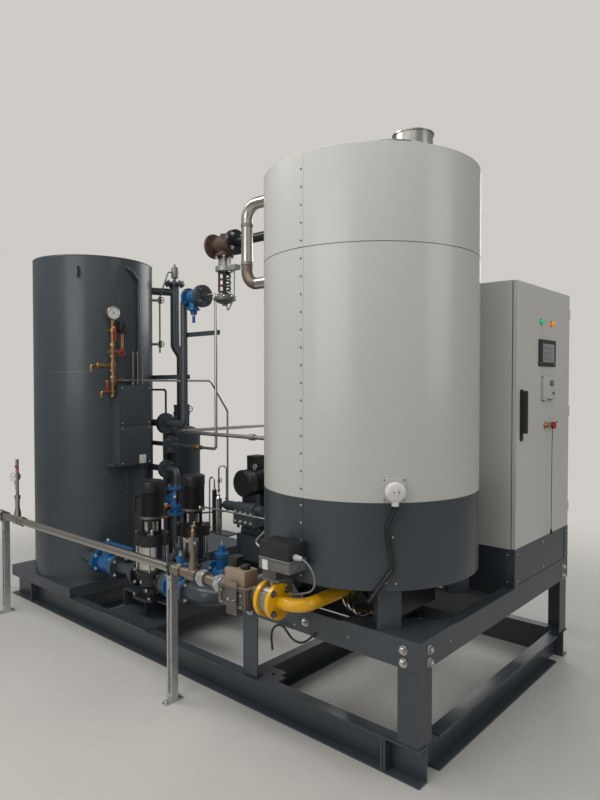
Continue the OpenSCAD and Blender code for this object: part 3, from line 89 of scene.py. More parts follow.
def turned(profile: list[tuple[float, float]], sides: int = 32) -> Array:
    """A profile of (radius, height) carried once round +Z.

    Point (i, j) is (r_i cos a_j, r_i sin a_j, z_i), with a_j = 2 pi j / sides.

    Args:
        profile: radius and height of each ring, from the bottom outwards and up.
        sides: number of columns round the axis.

    Returns:
        A grid of points, rings by columns.
    """
    angle = np.arange(sides) * TAU / sides
    radius, height = np.asarray(profile, float).T
    return np.stack([radius[:, None] * np.cos(angle), radius[:, None] * np.sin(angle),
                     np.broadcast_to(height[:, None], (len(radius), sides))], axis=-1)


def outline(width: float, depth: float, corner: float, steps: int = 4) -> Array:
    """A rectangle with round corners, counter-clockwise round the origin.

    Each corner is a quarter of a circle about (width / 2 - corner, depth / 2 - corner) and its
    mirror places.

    Args:
        width: size along x.
        depth: size along y.
        corner: radius of the corners.
        steps: pieces in each quarter.

    Returns:
        The outline's points, one row each.
    """
    quarter = np.linspace(0.0, math.pi / 2, steps + 1)
    angle = (quarter[None, :] + np.arange(4)[:, None] * math.pi / 2).ravel()
    sign_x = np.repeat([1, -1, -1, 1], steps + 1)
    sign_y = np.repeat([1, 1, -1, -1], steps + 1)
    return np.stack([sign_x * (width / 2 - corner) + corner * np.cos(angle),
                     sign_y * (depth / 2 - corner) + corner * np.sin(angle)], axis=1)


def block(width: float, depth: float, height: float, corner: float, edge: float,
          steps: int = 4) -> Array:
    """A box with round corners and a rolled edge at its foot and head.

    Ring k is the rounded rectangle drawn in by edge (1 - sin t), at height edge (1 - cos t) from
    the nearer end, with t from 0 to a quarter turn.

    Args:
        width: size along x.
        depth: size along y.
        height: size along z, from 0.
        corner: radius of the upright corners.
        edge: radius of the rolled edges.
        steps: pieces in each corner.

    Returns:
        A grid of points, rings by columns.
    """
    roll = np.linspace(0.0, math.pi / 2, 4)
    inset = edge * (1 - np.sin(roll))
    rise = edge * (1 - np.cos(roll))
    inset = np.concatenate([inset, inset[::-1]])
    rise = np.concatenate([rise, height - rise[::-1]])
    flat = outline(width, depth, corner, steps)
    scale = 1 - inset[:, None] * np.array([[2 / width, 2 / depth]])
    tall = np.broadcast_to(rise[:, None, None], (len(rise), len(flat), 1))
    return np.concatenate([flat[None] * scale[:, None, :], tall], axis=2)


def bent(points: list[Array], bend: float, steps: int = 7) -> Array:
    """A route whose inner corners are rounded.

    Each corner P becomes the curve (1-t)^2 A + 2 t (1-t) P + t^2 B, where A and B lie on its two
    runs at the bend's reach.

    Args:
        points: corners of the route.
        bend: reach of each bend along its runs.
        steps: points in each bend.

    Returns:
        The route's points.
    """
    corners = np.asarray(points, float)
    if len(corners) == 2:
        return corners
    middle = corners[1:-1]
    back = corners[:-2] - middle
    ahead = corners[2:] - middle
    reach_back = np.minimum(bend, np.linalg.norm(back, axis=1) * 0.499)[:, None]
    reach_ahead = np.minimum(bend, np.linalg.norm(ahead, axis=1) * 0.499)[:, None]
    start = middle + back / np.linalg.norm(back, axis=1)[:, None] * reach_back
    end = middle + ahead / np.linalg.norm(ahead, axis=1)[:, None] * reach_ahead
    t = np.linspace(0.0, 1.0, steps)[None, :, None]
    left = 1 - t
    arcs = left ** 2 * start[:, None] + 2 * t * left * middle[:, None] + t ** 2 * end[:, None]
    return np.concatenate([corners[:1], arcs.reshape(-1, 3), corners[-1:]])


def flowing(points: list[Array], count: int = 40) -> Array:
    """A smooth route through points, by a Catmull-Rom curve.

    Args:
        points: places that the route passes through.
        count: number of points wanted.

    Returns:
        The route's points.
    """
    knots = np.asarray(points, float)
    knots = np.concatenate([2 * knots[:1] - knots[1:2], knots, 2 * knots[-1:] - knots[-2:-1]])
    along = np.linspace(0.0, len(knots) - 3 - 1e-9, count)
    cell = along.astype(int)
    t = (along - cell)[:, None]
    a, b, c, d = knots[cell], knots[cell + 1], knots[cell + 2], knots[cell + 3]
    return 0.5 * (2 * b + (c - a) * t + (2 * a - 5 * b + 4 * c - d) * t ** 2
                  + (3 * b - a - 3 * c + d) * t ** 3)


def tube(path: Array, radius: float | Array, sides: int = 12) -> Array:
    """A round bar along a route.

    Point (i, j) is path_i + radius_i (across_i cos a_j + over_i sin a_j). The across direction
    is square to the tangent and to the direction in which the route turns least.

    Args:
        path: points of the route.
        radius: radius of the bar, one for all or one for each point.
        sides: number of columns round the bar.

    Returns:
        A grid of points, route by columns.
    """
    path = np.asarray(path, float)
    tangent = np.gradient(path, axis=0)
    tangent /= np.linalg.norm(tangent, axis=1)[:, None]
    least = np.linalg.svd(tangent)[2][-1]
    across = np.cross(least, tangent)
    across /= np.linalg.norm(across, axis=1)[:, None]
    over = np.cross(tangent, across)
    angle = np.arange(sides) * TAU / sides
    size = np.broadcast_to(np.asarray(radius, float), (len(path),))[:, None, None]
    return path[:, None] + size * (across[:, None] * np.cos(angle)[None, :, None]
                                   + over[:, None] * np.sin(angle)[None, :, None])


def torus(major: float, minor: float, sides: int = 24, around: int = 8) -> Array:
    """A ring about +Z.

    Point (i, j) is ((R + r cos b_i) cos a_j, (R + r cos b_i) sin a_j, r sin b_i).

    Args:
        major: radius of the ring.
        minor: radius of its bar.
        sides: number of columns round the ring.
        around: number of points round the bar.

    Returns:
        A grid of points whose last ring joins the first.
    """
    turn = np.arange(around) * TAU / around
    return turned([(major + minor * math.cos(b), minor * math.sin(b)) for b in turn], sides)


def ring(centre: Array, axis: Array, radius: float, count: int, start: float = 45.0) -> Array:
    """Places spaced evenly on a circle, at centre + radius (cos a, sin a) across the axis.

    Args:
        centre: middle of the circle.
        axis: direction that the circle is square to.
        radius: its radius.
        count: number of places.
        start: angle of the first place in degrees.

    Returns:
        The places, one row each.
    """
    turn = facing(axis)
    angle = (math.radians(start) + np.arange(count) * TAU / count)[:, None]
    return centre + radius * (np.cos(angle) * turn[:, 0] + np.sin(angle) * turn[:, 1])


def curved_sheet(centre: tuple[float, float], radius: float, angles: tuple[float, float],
                 heights: tuple[float, float], thick: float, steps: int = 8) -> Array:
    """A thin sheet on an upright cylinder, with its outline across and carried up in z.

    Args:
        centre: the cylinder's axis in the skid's frame.
        radius: the cylinder's radius.
        angles: first and last angle in degrees.
        heights: lowest and highest z.
        thick: how far the sheet stands out.
        steps: pieces along the arc.

    Returns:
        A grid of two rings.
    """
    arc = np.radians(np.linspace(*angles, steps))
    inner, outer = radius - 0.0005, radius + thick
    flat = np.concatenate([np.stack([outer * np.cos(arc), outer * np.sin(arc)], axis=1),
                           np.stack([inner * np.cos(arc), inner * np.sin(arc)], axis=1)[::-1]])
    flat = flat + skid(centre[0], centre[1], 0.0)[:2]
    rows = [np.column_stack([flat, np.full(len(flat), z)]) for z in heights]
    return np.stack(rows)


def linked(name: str, data: bpy.types.ID) -> bpy.types.Object:
    """A new object of a mesh, a camera or a lamp, linked into the scene."""
    thing = bpy.data.objects.new(name, data)
    bpy.context.scene.collection.objects.link(thing)
    return thing


class Stock:
    """Surfaces that are joined into one piece."""

    def __init__(self, name: str) -> None:
        """Starts an empty piece with its name."""
        self.name = name
        self.points: list[Array] = []
        self.faces: list[list[int]] = []
        self.count = 0

    def add(self, grid: Array, caps: bool = True) -> "Stock":
        """Adds a grid of points as quads; without caps the last ring joins the first.

        Args:
            grid: rings by columns by three.
            caps: whether a flat face closes the first and the last ring.

        Returns:
            The piece itself.
        """
        rings, columns = grid.shape[:2]
        index = self.count + np.arange(rings * columns).reshape(rings, columns)
        near = index[:-1] if caps else index
        above = index[1:] if caps else np.roll(index, -1, axis=0)
        quads = np.stack([near, np.roll(near, -1, axis=1), np.roll(above, -1, axis=1), above],
                         axis=-1)
        self.faces += quads.reshape(-1, 4).tolist()
        if caps:
            self.faces += [index[0, ::-1].tolist(), index[-1].tolist()]
        self.points.append(grid.reshape(-1, 3))
        self.count += rings * columns
        return self

    def put(self, grid: Array, place: Array, turn: Array | None = None,
            caps: bool = True) -> "Stock":
        """Adds a shape at a place, turned first where a turn is given."""
        return self.add((grid if turn is None else grid @ turn.T) + place, caps=caps)

    def pipe(self, points: list[Array], radius: float, bend: float = 0.02,
             sides: int = 14) -> "Stock":
        """Adds a round bar along a route with rounded corners."""
        return self.add(tube(bent(points, bend), radius, sides))

    def wheel(self, place: Array, axis: Array, radius: float) -> "Stock":
        """Adds a handwheel with its hub, four spokes and stem, standing off along an axis."""
        turn = facing(axis)
        rise = turn[:, 2]
        self.put(torus(radius, radius * 0.13), place + rise * radius * 0.5, turn, caps=False)
        self.put(turned([(radius * 0.2, 0.0), (radius * 0.2, radius * 0.62),
                         (radius * 0.1, radius * 0.7)], 12), place, turn)
        middle = place + rise * radius * 0.45
        for arm in (turn[:, 0] * radius, turn[:, 1] * radius):
            self.add(tube(np.array([middle - arm, middle + arm]), radius * 0.08, 8))
        return self

    def lever(self, start: Array, end: Array, width: float, thick: float,
              roll: float = 0.0) -> "Stock":
        """Adds a flat handle with round edges from one place to another."""
        way = np.asarray(end, float) - start
        return self.put(block(width, thick, float(np.linalg.norm(way)), thick * 0.45, thick * 0.3),
                        np.asarray(start, float), facing(way, roll))

    def spread(self, grid: Array, places: Array, turn: Array) -> "Stock":
        """Adds one shape at many places at once.

        Args:
            grid: rings by columns by three, about the origin.
            places: one row for each copy.
            turn: 3 by 3 turn that all copies share.

        Returns:
            The piece itself.
        """
        rings, columns = grid.shape[:2]
        places = np.atleast_2d(places)
        copies = (grid @ turn.T)[None] + places[:, None, None, :]
        index = self.count + np.arange(copies[..., 0].size).reshape(len(places), rings, columns)
        far = np.roll(index, -1, axis=2)
        quads = np.stack([index[:, :-1], far[:, :-1], far[:, 1:], index[:, 1:]], axis=-1)
        self.faces += quads.reshape(-1, 4).tolist()
        self.faces += index[:, 0, ::-1].tolist() + index[:, -1].tolist()
        self.points.append(copies.reshape(-1, 3))
        self.count += copies[..., 0].size
        return self

    def nut(self, width: float, height: float, place: Array, axis: Array) -> "Stock":
        """Adds a hexagon head or nut that rises from a place along an axis."""
        return self.put(hexagon(width, height), place, facing(axis))

    def slab(self, size: tuple[float, ...], place: Array, axis: Array,
             roll: float = 0.0) -> "Stock":
        """Adds a block that rises from a place along an axis; size is what block takes."""
        return self.put(block(*size), place, facing(axis, roll))

    def lathe(self, profile: list[tuple[float, float]], sides: int, place: Array,
              axis: Array) -> "Stock":
        """Adds a turned profile that rises from a place along an axis."""
        return self.put(turned(profile, sides), place, facing(axis))

    def make(self, finish: "Finish | Paint", body: str = "plant",
             sharp: float = 35.0) -> bpy.types.Object:
        """Builds the mesh, gives it its finish and lets it ride.

        Args:
            finish: the finish of the whole piece, or its name in Paint.
            body: name of the body that it moves with.
            sharp: angle in degrees past which an edge stays crisp.

        Returns:
            The new object.
        """
        mesh = bpy.data.meshes.new(self.name)
        mesh.from_pydata(np.concatenate(self.points).tolist(), [], self.faces)
        mesh.validate()
        mesh.shade_smooth()
        mesh.set_sharp_from_angle(angle=math.radians(sharp))
        look = finish.value if isinstance(finish, Paint) else finish
        mesh.materials.append(look.material())
        piece = linked(self.name, mesh)
        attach(piece, body)
        LOG.info("%s: %d faces on %s", self.name, len(mesh.polygons), body)
        return piece


def operator(operation: str, swapped: bool = False) -> Callable:
    """Makes the method with which a wire takes part in one kind of arithmetic.

    Args:
        operation: what the Math node does.
        swapped: whether the wire is the second operand.

    Returns:
        The method.
    """
    def method(wire: "Wire", other: "Wire | float") -> "Wire":
        """Adds one Math node with two operands."""
        first, second = (other, wire) if swapped else (wire, other)
        return wire.graph.node("ShaderNodeMath", {"operation": operation}, {0: first, 1: second})

    return method


class Wire:
    """A socket of a finish's graph that arithmetic can be written on."""

    def __init__(self, graph: "Graph", socket: bpy.types.NodeSocket) -> None:
        """Wraps one output socket."""
        self.graph = graph
        self.socket = socket

    __add__ = __radd__ = operator("ADD")
    __sub__ = operator("SUBTRACT")
    __rsub__ = operator("SUBTRACT", swapped=True)
    __mul__ = __rmul__ = operator("MULTIPLY")
    __pow__ = operator("POWER")
    __gt__ = operator("GREATER_THAN")
    __lt__ = operator("LESS_THAN")


class Graph:
    """The node graph of one finish."""

    def __init__(self, name: str) -> None:
        """Starts a material with one principled shader."""
        self.material = bpy.data.materials.new(name)
        self.material.use_nodes = True
        self.nodes = self.material.node_tree.nodes
        self.links = self.material.node_tree.links
        self.shader = self.nodes["Principled BSDF"]

    def node(self, kind: str, settings: dict, inputs: dict, output: int | str = 0) -> Wire:
        """Adds one node.

        Args:
            kind: the node's type.
            settings: properties that are set first; "stops" fills a colour ramp.
            inputs: socket index or name to a Wire or a value.
            output: socket that is handed on.

        Returns:
            The wrapped output socket.
        """
        node = self.nodes.new(kind)
        for key, value in settings.items():
            if key == "stops":
                ramp = node.color_ramp.elements
                for _ in range(len(value) - 2):
                    ramp.new(0.5)
                for element, (place, colour) in zip(ramp, value):
                    element.position = place
                    element.color = (*colour, 1.0)
            else:
                setattr(node, key, value)
        for key, value in inputs.items():
            if isinstance(value, Wire):
                self.links.new(value.socket, node.inputs[key])
            else:
                node.inputs[key].default_value = value
        return Wire(self, node.outputs[output])

    def coordinates(self, stretch: tuple[float, float, float] = (1.0, 1.0, 1.0)) -> Wire:
        """Object coordinates, stretched along each axis."""
        place = self.node("ShaderNodeTexCoord", {}, {}, "Object")
        if stretch == (1.0, 1.0, 1.0):
            return place
        return self.node("ShaderNodeMapping", {}, {"Vector": place, "Scale": stretch})

    def axes(self, place: Wire) -> list[Wire]:
        """The x, y and z of a place, each on its own wire."""
        x = self.node("ShaderNodeSeparateXYZ", {}, {"Vector": place})
        return [Wire(self, socket) for socket in x.socket.node.outputs]

    def noise(self, place: Wire, scale: float, detail: float = 3.0, rough: float = 0.55) -> Wire:
        """Cloudy noise from 0 to 1."""
        return self.node("ShaderNodeTexNoise", {}, {"Vector": place, "Scale": scale,
                                                    "Detail": detail, "Roughness": rough}, "Fac")

    def blend(self, share: Wire | float, first: object, second: object) -> Wire:
        """Mix of two colours by a share."""
        paints = {6: first, 7: second}
        paints = {k: v if isinstance(v, Wire) else (*v, 1.0) for k, v in paints.items()}
        return self.node("ShaderNodeMix", {"data_type": "RGBA"}, {0: share, **paints}, 2)

    def share(self, value: Wire, low: float, high: float, **settings: object) -> Wire:
        """A value carried to 0 at low and to 1 at high, and held there beyond them."""
        return self.node("ShaderNodeMapRange", settings, {"Value": value, "From Min": low,
                                                          "From Max": high})

    def bump(self, height: Wire, strength: float, distance: float) -> Wire:
        """Surface relief from a height."""
        return self.node("ShaderNodeBump", {}, {"Strength": strength, "Distance": distance,
                                                "Height": height})

    def feed(self, **sockets: object) -> None:
        """Sets or links sockets of the shader; underscores stand for spaces."""
        for name, value in sockets.items():
            socket = self.shader.inputs[name.replace("_", " ")]
            if isinstance(value, Wire):
                self.links.new(value.socket, socket)
            elif isinstance(value, tuple) and len(value) == 3:
                socket.default_value = (*value, 1.0)
            else:
                socket.default_value = value


# The cloud pattern: the slow noise's share, how much finer the specks are, and the noise levels
# between which the colour goes over to its shade.
SLOW_SHARE = 0.75
SPECK_RATIO = 14
CLOUD_RANGE = (0.35, 0.65)
COAT_ROUGHNESS = 0.12
# Patches: their size against the clouds, how soft their edge is and how much rougher they are.
PATCH_RATIO = 6
PATCH_EDGE = 0.12
PATCH_ROUGHER = 0.2
# Zinc cells for each metre, and the specks of a zone: their size, depth of tone and gloss swing.
ZINC_CELLS = 90.0
ZONE_RATIO = 9
ZONE_DARKER = 0.72
ZONE_UNEVEN = 0.1


@dataclass(frozen=True)
class Finish:
    """A surface finish with soft clouds in its colour, uneven gloss and fine relief.

    The colour swings between colour and shade by a slow noise. The gloss swings about
    roughness, and the relief is a fine noise of the given depth in metres.
    """

    name: str
    slot: str
    colour: tuple[float, float, float]
    shade: tuple[float, float, float]
    roughness: float = 0.4
    uneven: float = 0.1
    metallic: float = 0.0
    clouds: float = 3.0
    grain: float = 400.0
    depth: float = 0.0001
    relief: float = 0.15
    coat: float = 0.0

    def material(self) -> bpy.types.Material:
        """The material, made on first use."""
        known = bpy.data.materials.get(self.name)
        return known if known else self.build().material

    def build(self) -> Graph:
        """Builds the graph: two noises for colour, one for gloss and one for relief."""
        graph = Graph(self.name)
        place = graph.coordinates()
        slow = graph.noise(place, self.clouds, 4.0)
        speck = graph.noise(place, self.clouds * SPECK_RATIO, 2.0)
        mixed = slow * SLOW_SHARE + speck * (1 - SLOW_SHARE)
        share = graph.share(mixed, *CLOUD_RANGE)
        graph.feed(Base_Color=graph.blend(share, self.colour, self.shade),
                   Roughness=self.roughness + self.uneven * (speck - 0.5),
                   Normal=graph.bump(graph.noise(place, self.grain, 2.0), self.relief, self.depth),
                   Metallic=self.metallic, Coat_Weight=self.coat,
                   Coat_Roughness=COAT_ROUGHNESS)
        return graph


@dataclass(frozen=True)
class Brushed(Finish):
    """Metal with fine lines along one axis, over the clouds of the plain finish."""

    along: tuple[float, float, float] = (1.0, 1.0, 0.03)

    def build(self) -> Graph:
        """Adds stretched noise lines to gloss and relief."""
        graph = super().build()
        lines = graph.noise(graph.coordinates(self.along), self.grain, 3.0)
        graph.feed(Roughness=self.roughness + self.uneven * (lines - 0.5),
                   Normal=graph.bump(lines, self.relief, self.depth))
        return graph


@dataclass(frozen=True)
class Weathered(Finish):
    """Cast or coated metal with patches of a third colour where a coarse noise is high."""

    patch: tuple[float, float, float] = (0.2, 0.09, 0.04)
    cover: float = 0.6

    def build(self) -> Graph:
        """Lays the patches over the clouds and roughens them."""
        graph = super().build()
        place = graph.coordinates()
        coarse = graph.noise(place, self.clouds * PATCH_RATIO, 5.0, 0.65)
        share = graph.share(coarse, self.cover, self.cover + PATCH_EDGE)
        base = graph.shader.inputs["Base Color"].links[0].from_socket
        graph.feed(Base_Color=graph.blend(share, Wire(graph, base), self.patch),
                   Roughness=self.roughness + share * PATCH_ROUGHER)
        return graph


@dataclass(frozen=True)
class Galvanised(Finish):
    """Zinc coat whose cells each have their own grey and gloss."""

    def build(self) -> Graph:
        """Adds a cell pattern to colour and gloss."""
        graph = super().build()
        cells = graph.node("ShaderNodeTexVoronoi", {}, {"Vector": graph.coordinates(),
                                                        "Scale": ZINC_CELLS}, "Color")
        tone = graph.node("ShaderNodeSeparateColor", {}, {"Color": cells}, 0)
        graph.feed(Base_Color=graph.blend(tone, self.colour, self.shade),
                   Roughness=self.roughness + self.uneven * (tone - 0.5))
        return graph


@dataclass(frozen=True)
class Zone:
    """A box in the skid's frame, in metres, with its own colour, gloss and metal share."""

    low: tuple[float, float, float]
    high: tuple[float, float, float]
    colour: tuple[float, float, float]
    roughness: float = 0.45
    metallic: float = 0.0


@dataclass(frozen=True)
class Zoned(Finish):
    """A finish that changes inside boxes, for a node made of several castings.

    A point lies in a box where each coordinate is above the low corner and below the high one,
    so the share is the product of six comparisons.
    """

    zones: tuple[Zone, ...] = ()

    def build(self) -> Graph:
        """Blends colour, gloss and metal share box by box."""
        graph = super().build()
        place = graph.coordinates()
        axes = graph.axes(place)
        speck = graph.noise(place, self.clouds * ZONE_RATIO, 3.0)
        colour = Wire(graph, graph.shader.inputs["Base Color"].links[0].from_socket)
        rough = Wire(graph, graph.shader.inputs["Roughness"].links[0].from_socket)
        metal: Wire | float = self.metallic
        for zone in self.zones:
            share: Wire | float = 1.0
            for axis, low, high in zip(axes, skid(*zone.low), skid(*zone.high)):
                share = (axis > float(low)) * (float(high) > axis) * share
            own = graph.blend(speck, zone.colour, tuple(ZONE_DARKER * c for c in zone.colour))
            colour = graph.blend(share, colour, own)
            rough = rough * (1.0 - share) + share * (zone.roughness + ZONE_UNEVEN * (speck - 0.5))
            metal = metal * (1.0 - share) + share * zone.metallic
        graph.feed(Base_Color=colour, Roughness=rough, Metallic=metal)
        return graph


@dataclass(frozen=True)
class Glow(Finish):
    """Translucent lamp or display that shines a little of its own colour."""

    light: float = 0.5

    def build(self) -> Graph:
        """Adds the shine to the plain finish."""
        graph = super().build()
        graph.feed(Emission_Color=self.colour, Emission_Strength=self.light)
        return graph


class Paint(Enum):
    """The finishes of the plant."""

    SLATE = Finish("slate_gloss", "slate_paint", (0.052, 0.066, 0.078), (0.045, 0.057, 0.068),
                   0.36, 0.10, clouds=2.0, grain=260, relief=0.25, depth=0.0002, coat=0.15)
    CASING = Finish("casing_cream", "casing_paint", (0.585, 0.58, 0.55), (0.555, 0.55, 0.52),
                    0.34, 0.06, clouds=1.1, grain=180, relief=0.16, depth=0.0002, coat=0.2)
    CABINET = Finish("cabinet_powder", "cabinet_paint", (0.60, 0.595, 0.565), (0.57, 0.565, 0.535),
                     0.46, 0.08, clouds=1.5, grain=700, relief=0.35, depth=0.0002)
    BLACK = Finish("satin_black", "black_paint", (0.010, 0.010, 0.011), (0.017, 0.017, 0.018),
                   0.38, 0.12, clouds=6.0, grain=500, relief=0.2, depth=0.0002)
    STEEL = Brushed("brushed_stainless", "stainless", (0.58, 0.56, 0.53), (0.55, 0.53, 0.50),
                    0.27, 0.04, 1.0, clouds=5.0, grain=160, relief=0.02, depth=0.0001)
    DARK_STEEL = Weathered("scaled_steel", "stainless", (0.33, 0.29, 0.25), (0.24, 0.20, 0.17),
                           0.45, 0.15, 0.7, clouds=6.0, grain=300, relief=0.3, depth=0.0003,
                           patch=(0.16, 0.10, 0.07), cover=0.55)
    BLUE = Finish("valve_blue", "blue_epoxy", (0.012, 0.120, 0.31), (0.009, 0.090, 0.24),
                  0.36, 0.12, clouds=9.0, grain=260, relief=0.4, depth=0.0006, coat=0.2)
    YELLOW = Finish("gas_yellow_gloss", "gas_yellow", (0.88, 0.48, 0.008), (0.78, 0.40, 0.007),
                    0.33, 0.12, clouds=7.0, grain=220, relief=0.3, depth=0.0004, coat=0.3)
    BRASS = Weathered("dull_brass", "brass", (0.52, 0.33, 0.14), (0.42, 0.25, 0.10), 0.36, 0.2,
                      0.95, clouds=20.0, grain=500, relief=0.3, depth=0.0002,
                      patch=(0.30, 0.16, 0.08), cover=0.58)
    ZINC = Galvanised("galvanised_zinc", "zinc", (0.50, 0.51, 0.52), (0.62, 0.63, 0.64), 0.42,
                      0.2, 0.85, clouds=8.0, grain=350, relief=0.2, depth=0.0002)
    IRON = Weathered("brown_iron", "oxide_iron", (0.12, 0.070, 0.048), (0.085, 0.052, 0.038),
                     0.6, 0.2, 0.15, clouds=12.0, grain=200, relief=0.6, depth=0.0008,
                     patch=(0.25, 0.13, 0.07), cover=0.56)
    WHITE = Finish("white_plastic_gloss", "white_plastic", (0.74, 0.73, 0.69), (0.70, 0.69, 0.65),
                   0.3, 0.08, clouds=6.0, grain=500, relief=0.08, depth=0.0001, coat=0.2)
    PLASTIC = Finish("black_plastic_matte", "black_plastic", (0.012, 0.012, 0.013),
                     (0.020, 0.020, 0.021), 0.45, 0.1, clouds=9.0, grain=600, relief=0.2)
    BOLT = Finish("plated_bolt", "zinc", (0.62, 0.62, 0.60), (0.48, 0.48, 0.47), 0.32, 0.2, 0.9,
                  clouds=30.0, grain=900, relief=0.2)
    DARK_BOLT = Finish("dark_screw", "stainless", (0.20, 0.19, 0.18), (0.13, 0.12, 0.12), 0.4,
                       0.2, 0.8, clouds=30.0, grain=900, relief=0.2)
    RED = Finish("red_handle", "black_plastic", (0.42, 0.018, 0.012), (0.34, 0.014, 0.010), 0.4,
                 0.1, clouds=12.0, grain=500)
    ORANGE = Finish("orange_cap", "black_plastic", (0.80, 0.18, 0.02), (0.70, 0.15, 0.02), 0.42,
                    0.1, clouds=12.0, grain=500)
    RUBBER = Finish("cable_rubber", "black_plastic", (0.014, 0.014, 0.015), (0.022, 0.022, 0.023),
                    0.55, 0.12, clouds=12.0, grain=800, relief=0.3)
    GREY_CABLE = Finish("cable_grey", "white_plastic", (0.24, 0.25, 0.26), (0.20, 0.21, 0.22),
                        0.5, 0.1, clouds=12.0, grain=700)
    BEIGE = Finish("coil_beige", "white_plastic", (0.34, 0.26, 0.18), (0.29, 0.22, 0.15), 0.5,
                   0.1, clouds=12.0, grain=500)
    DIAL = Finish("dial_white", "white_plastic", (0.78, 0.78, 0.75), (0.74, 0.74, 0.71), 0.35,
                  0.05, clouds=8.0, grain=700, relief=0.05, coat=0.4)
    SCREEN = Finish("dark_screen", "black_plastic", (0.025, 0.030, 0.034), (0.032, 0.038, 0.042),
                    0.16, 0.05, clouds=6.0, grain=900, relief=0.02, coat=0.6)
    TILE = Finish("display_tiles", "black_plastic", (0.20, 0.23, 0.24), (0.16, 0.19, 0.20), 0.25,
                  0.05, clouds=20.0, grain=700, relief=0.02, coat=0.4)
    DISPLAY = Finish("grey_display", "black_plastic", (0.27, 0.29, 0.28), (0.24, 0.26, 0.25), 0.2,
                     0.05, clouds=6.0, grain=900, relief=0.02, coat=0.6)
    SEAM = Finish("seam_shadow", "black_paint", (0.085, 0.085, 0.082), (0.06, 0.06, 0.058), 0.6,
                  0.1, clouds=9.0, grain=400, relief=0.2)
    LIGHT_CASE = Finish("light_case", "white_plastic", (0.56, 0.56, 0.53), (0.52, 0.52, 0.49),
                        0.42, 0.08, clouds=9.0, grain=600, relief=0.15)
    CASTING = Finish("grey_casting", "zinc", (0.22, 0.22, 0.21), (0.16, 0.16, 0.155), 0.48, 0.15,
                     0.4, clouds=18.0, grain=260, relief=0.45, depth=0.0005)
    GREEN_LAMP = Glow("green_lamp", "black_plastic", (0.03, 0.50, 0.22), (0.02, 0.40, 0.17), 0.2,
                      0.05, clouds=20.0, grain=500, relief=0.05, coat=0.5, light=0.35)
    ORANGE_LAMP = Glow("orange_lamp", "black_plastic", (0.85, 0.30, 0.02), (0.75, 0.25, 0.02),
                       0.2, 0.05, clouds=20.0, grain=500, relief=0.05, coat=0.5, light=0.4)


CAST_GREY = (0.16, 0.145, 0.13)
ZINC_GREY = (0.42, 0.42, 0.41)

NODE_FINISH = {
    "gas_pipe": Zoned("gas_pipe_steel", "stainless", (0.50, 0.47, 0.43), (0.47, 0.44, 0.40), 0.3,
                      0.04, 1.0, clouds=5.0, grain=160, relief=0.03, zones=(
                          Zone((-1.31, -0.30, 0.60), (-0.93, -0.10, 0.95),
                               (0.34, 0.28, 0.225), 0.42, 0.8),)),
    "gas_valves": Zoned("gas_castings", "zinc", CAST_GREY, (0.11, 0.10, 0.09), 0.45, 0.2, 0.4,
                        clouds=16.0, grain=260, relief=0.5, depth=0.0006, zones=(
                            Zone((-0.95, -0.30, 0.7305), (-0.70, -0.10, 0.83),
                                 (0.27, 0.215, 0.165), 0.5),
                            Zone((-0.645, -0.40, 0.55), (-0.595, 0.0, 0.80), ZINC_GREY, 0.4, 0.8),
                            Zone((-0.68, -0.30, 0.845), (-0.45, -0.10, 0.905),
                                 (0.20, 0.205, 0.20), 0.5),
                            Zone((-0.68, -0.30, 0.905), (-0.45, -0.10, 1.0),
                                 (0.011, 0.011, 0.012), 0.4),
                            Zone((-3.46, -0.30, 0.60), (-3.34, -0.10, 0.80), ZINC_GREY, 0.4,
                                 0.8))),
    "regulator_valve": Zoned("regulator_castings", "oxide_iron", (0.10, 0.060, 0.042),
                             (0.07, 0.043, 0.032), 0.6, 0.2, 0.15, clouds=14.0, grain=200,
                             relief=0.6, depth=0.0008, zones=(
                                 Zone((-2.1, 0.5, 2.416), (-1.7, 0.8, 2.512), ZINC_GREY,
                                      0.42, 0.7),
                                 Zone((-2.1, 0.5, 2.262), (-1.7, 0.8, 2.416),
                                      (0.055, 0.058, 0.062), 0.4, 0.6),
                                 Zone((-2.1, 0.5, 2.10), (-1.7, 0.8, 2.262),
                                      (0.17, 0.165, 0.155), 0.45, 0.5))),
    "return_loop": Zoned("return_steel", "stainless", (0.56, 0.53, 0.49), (0.52, 0.49, 0.45), 0.29,
                         0.04, 1.0, clouds=5.0, grain=160, relief=0.02, zones=(
                             Zone((-1.20, 0.05, 2.10), (-1.05, 0.19, 2.30),
                                  (0.24, 0.19, 0.15), 0.5, 0.8),)),
    "tank_manifold": Zoned("manifold_brass", "brass", (0.40, 0.25, 0.12), (0.28, 0.165, 0.08),
                           0.4, 0.2, 0.9, clouds=24.0, grain=500, relief=0.3, zones=(
                               Zone((-3.10, 0.85, 1.85), (-2.90, 0.98, 2.45),
                                    (0.36, 0.34, 0.30), 0.4, 0.8),)),
    "pump_sleeves": Zoned("sleeve_steel", "stainless", (0.60, 0.58, 0.55), (0.57, 0.55, 0.52),
                          0.22, 0.04, 1.0, clouds=5.0, grain=160, relief=0.02, zones=(
                              Zone((-2.012, 0.10, 0.46), (-1.98, 0.65, 0.66),
                                   (0.05, 0.05, 0.052), 0.4, 0.6),
                              Zone((-2.215, 0.10, 0.46), (-2.183, 0.65, 0.66),
                                   (0.05, 0.05, 0.052), 0.4, 0.6))),
}

NODE_PAINT = {
    "casing_paint": Paint.CASING, "cabinet_paint": Paint.CABINET, "slate_paint": Paint.SLATE,
    "black_paint": Paint.BLACK, "stainless": Paint.STEEL, "blue_epoxy": Paint.BLUE,
    "gas_yellow": Paint.YELLOW, "brass": Paint.BRASS, "zinc": Paint.ZINC,
    "oxide_iron": Paint.IRON, "white_plastic": Paint.WHITE, "black_plastic": Paint.PLASTIC,
}


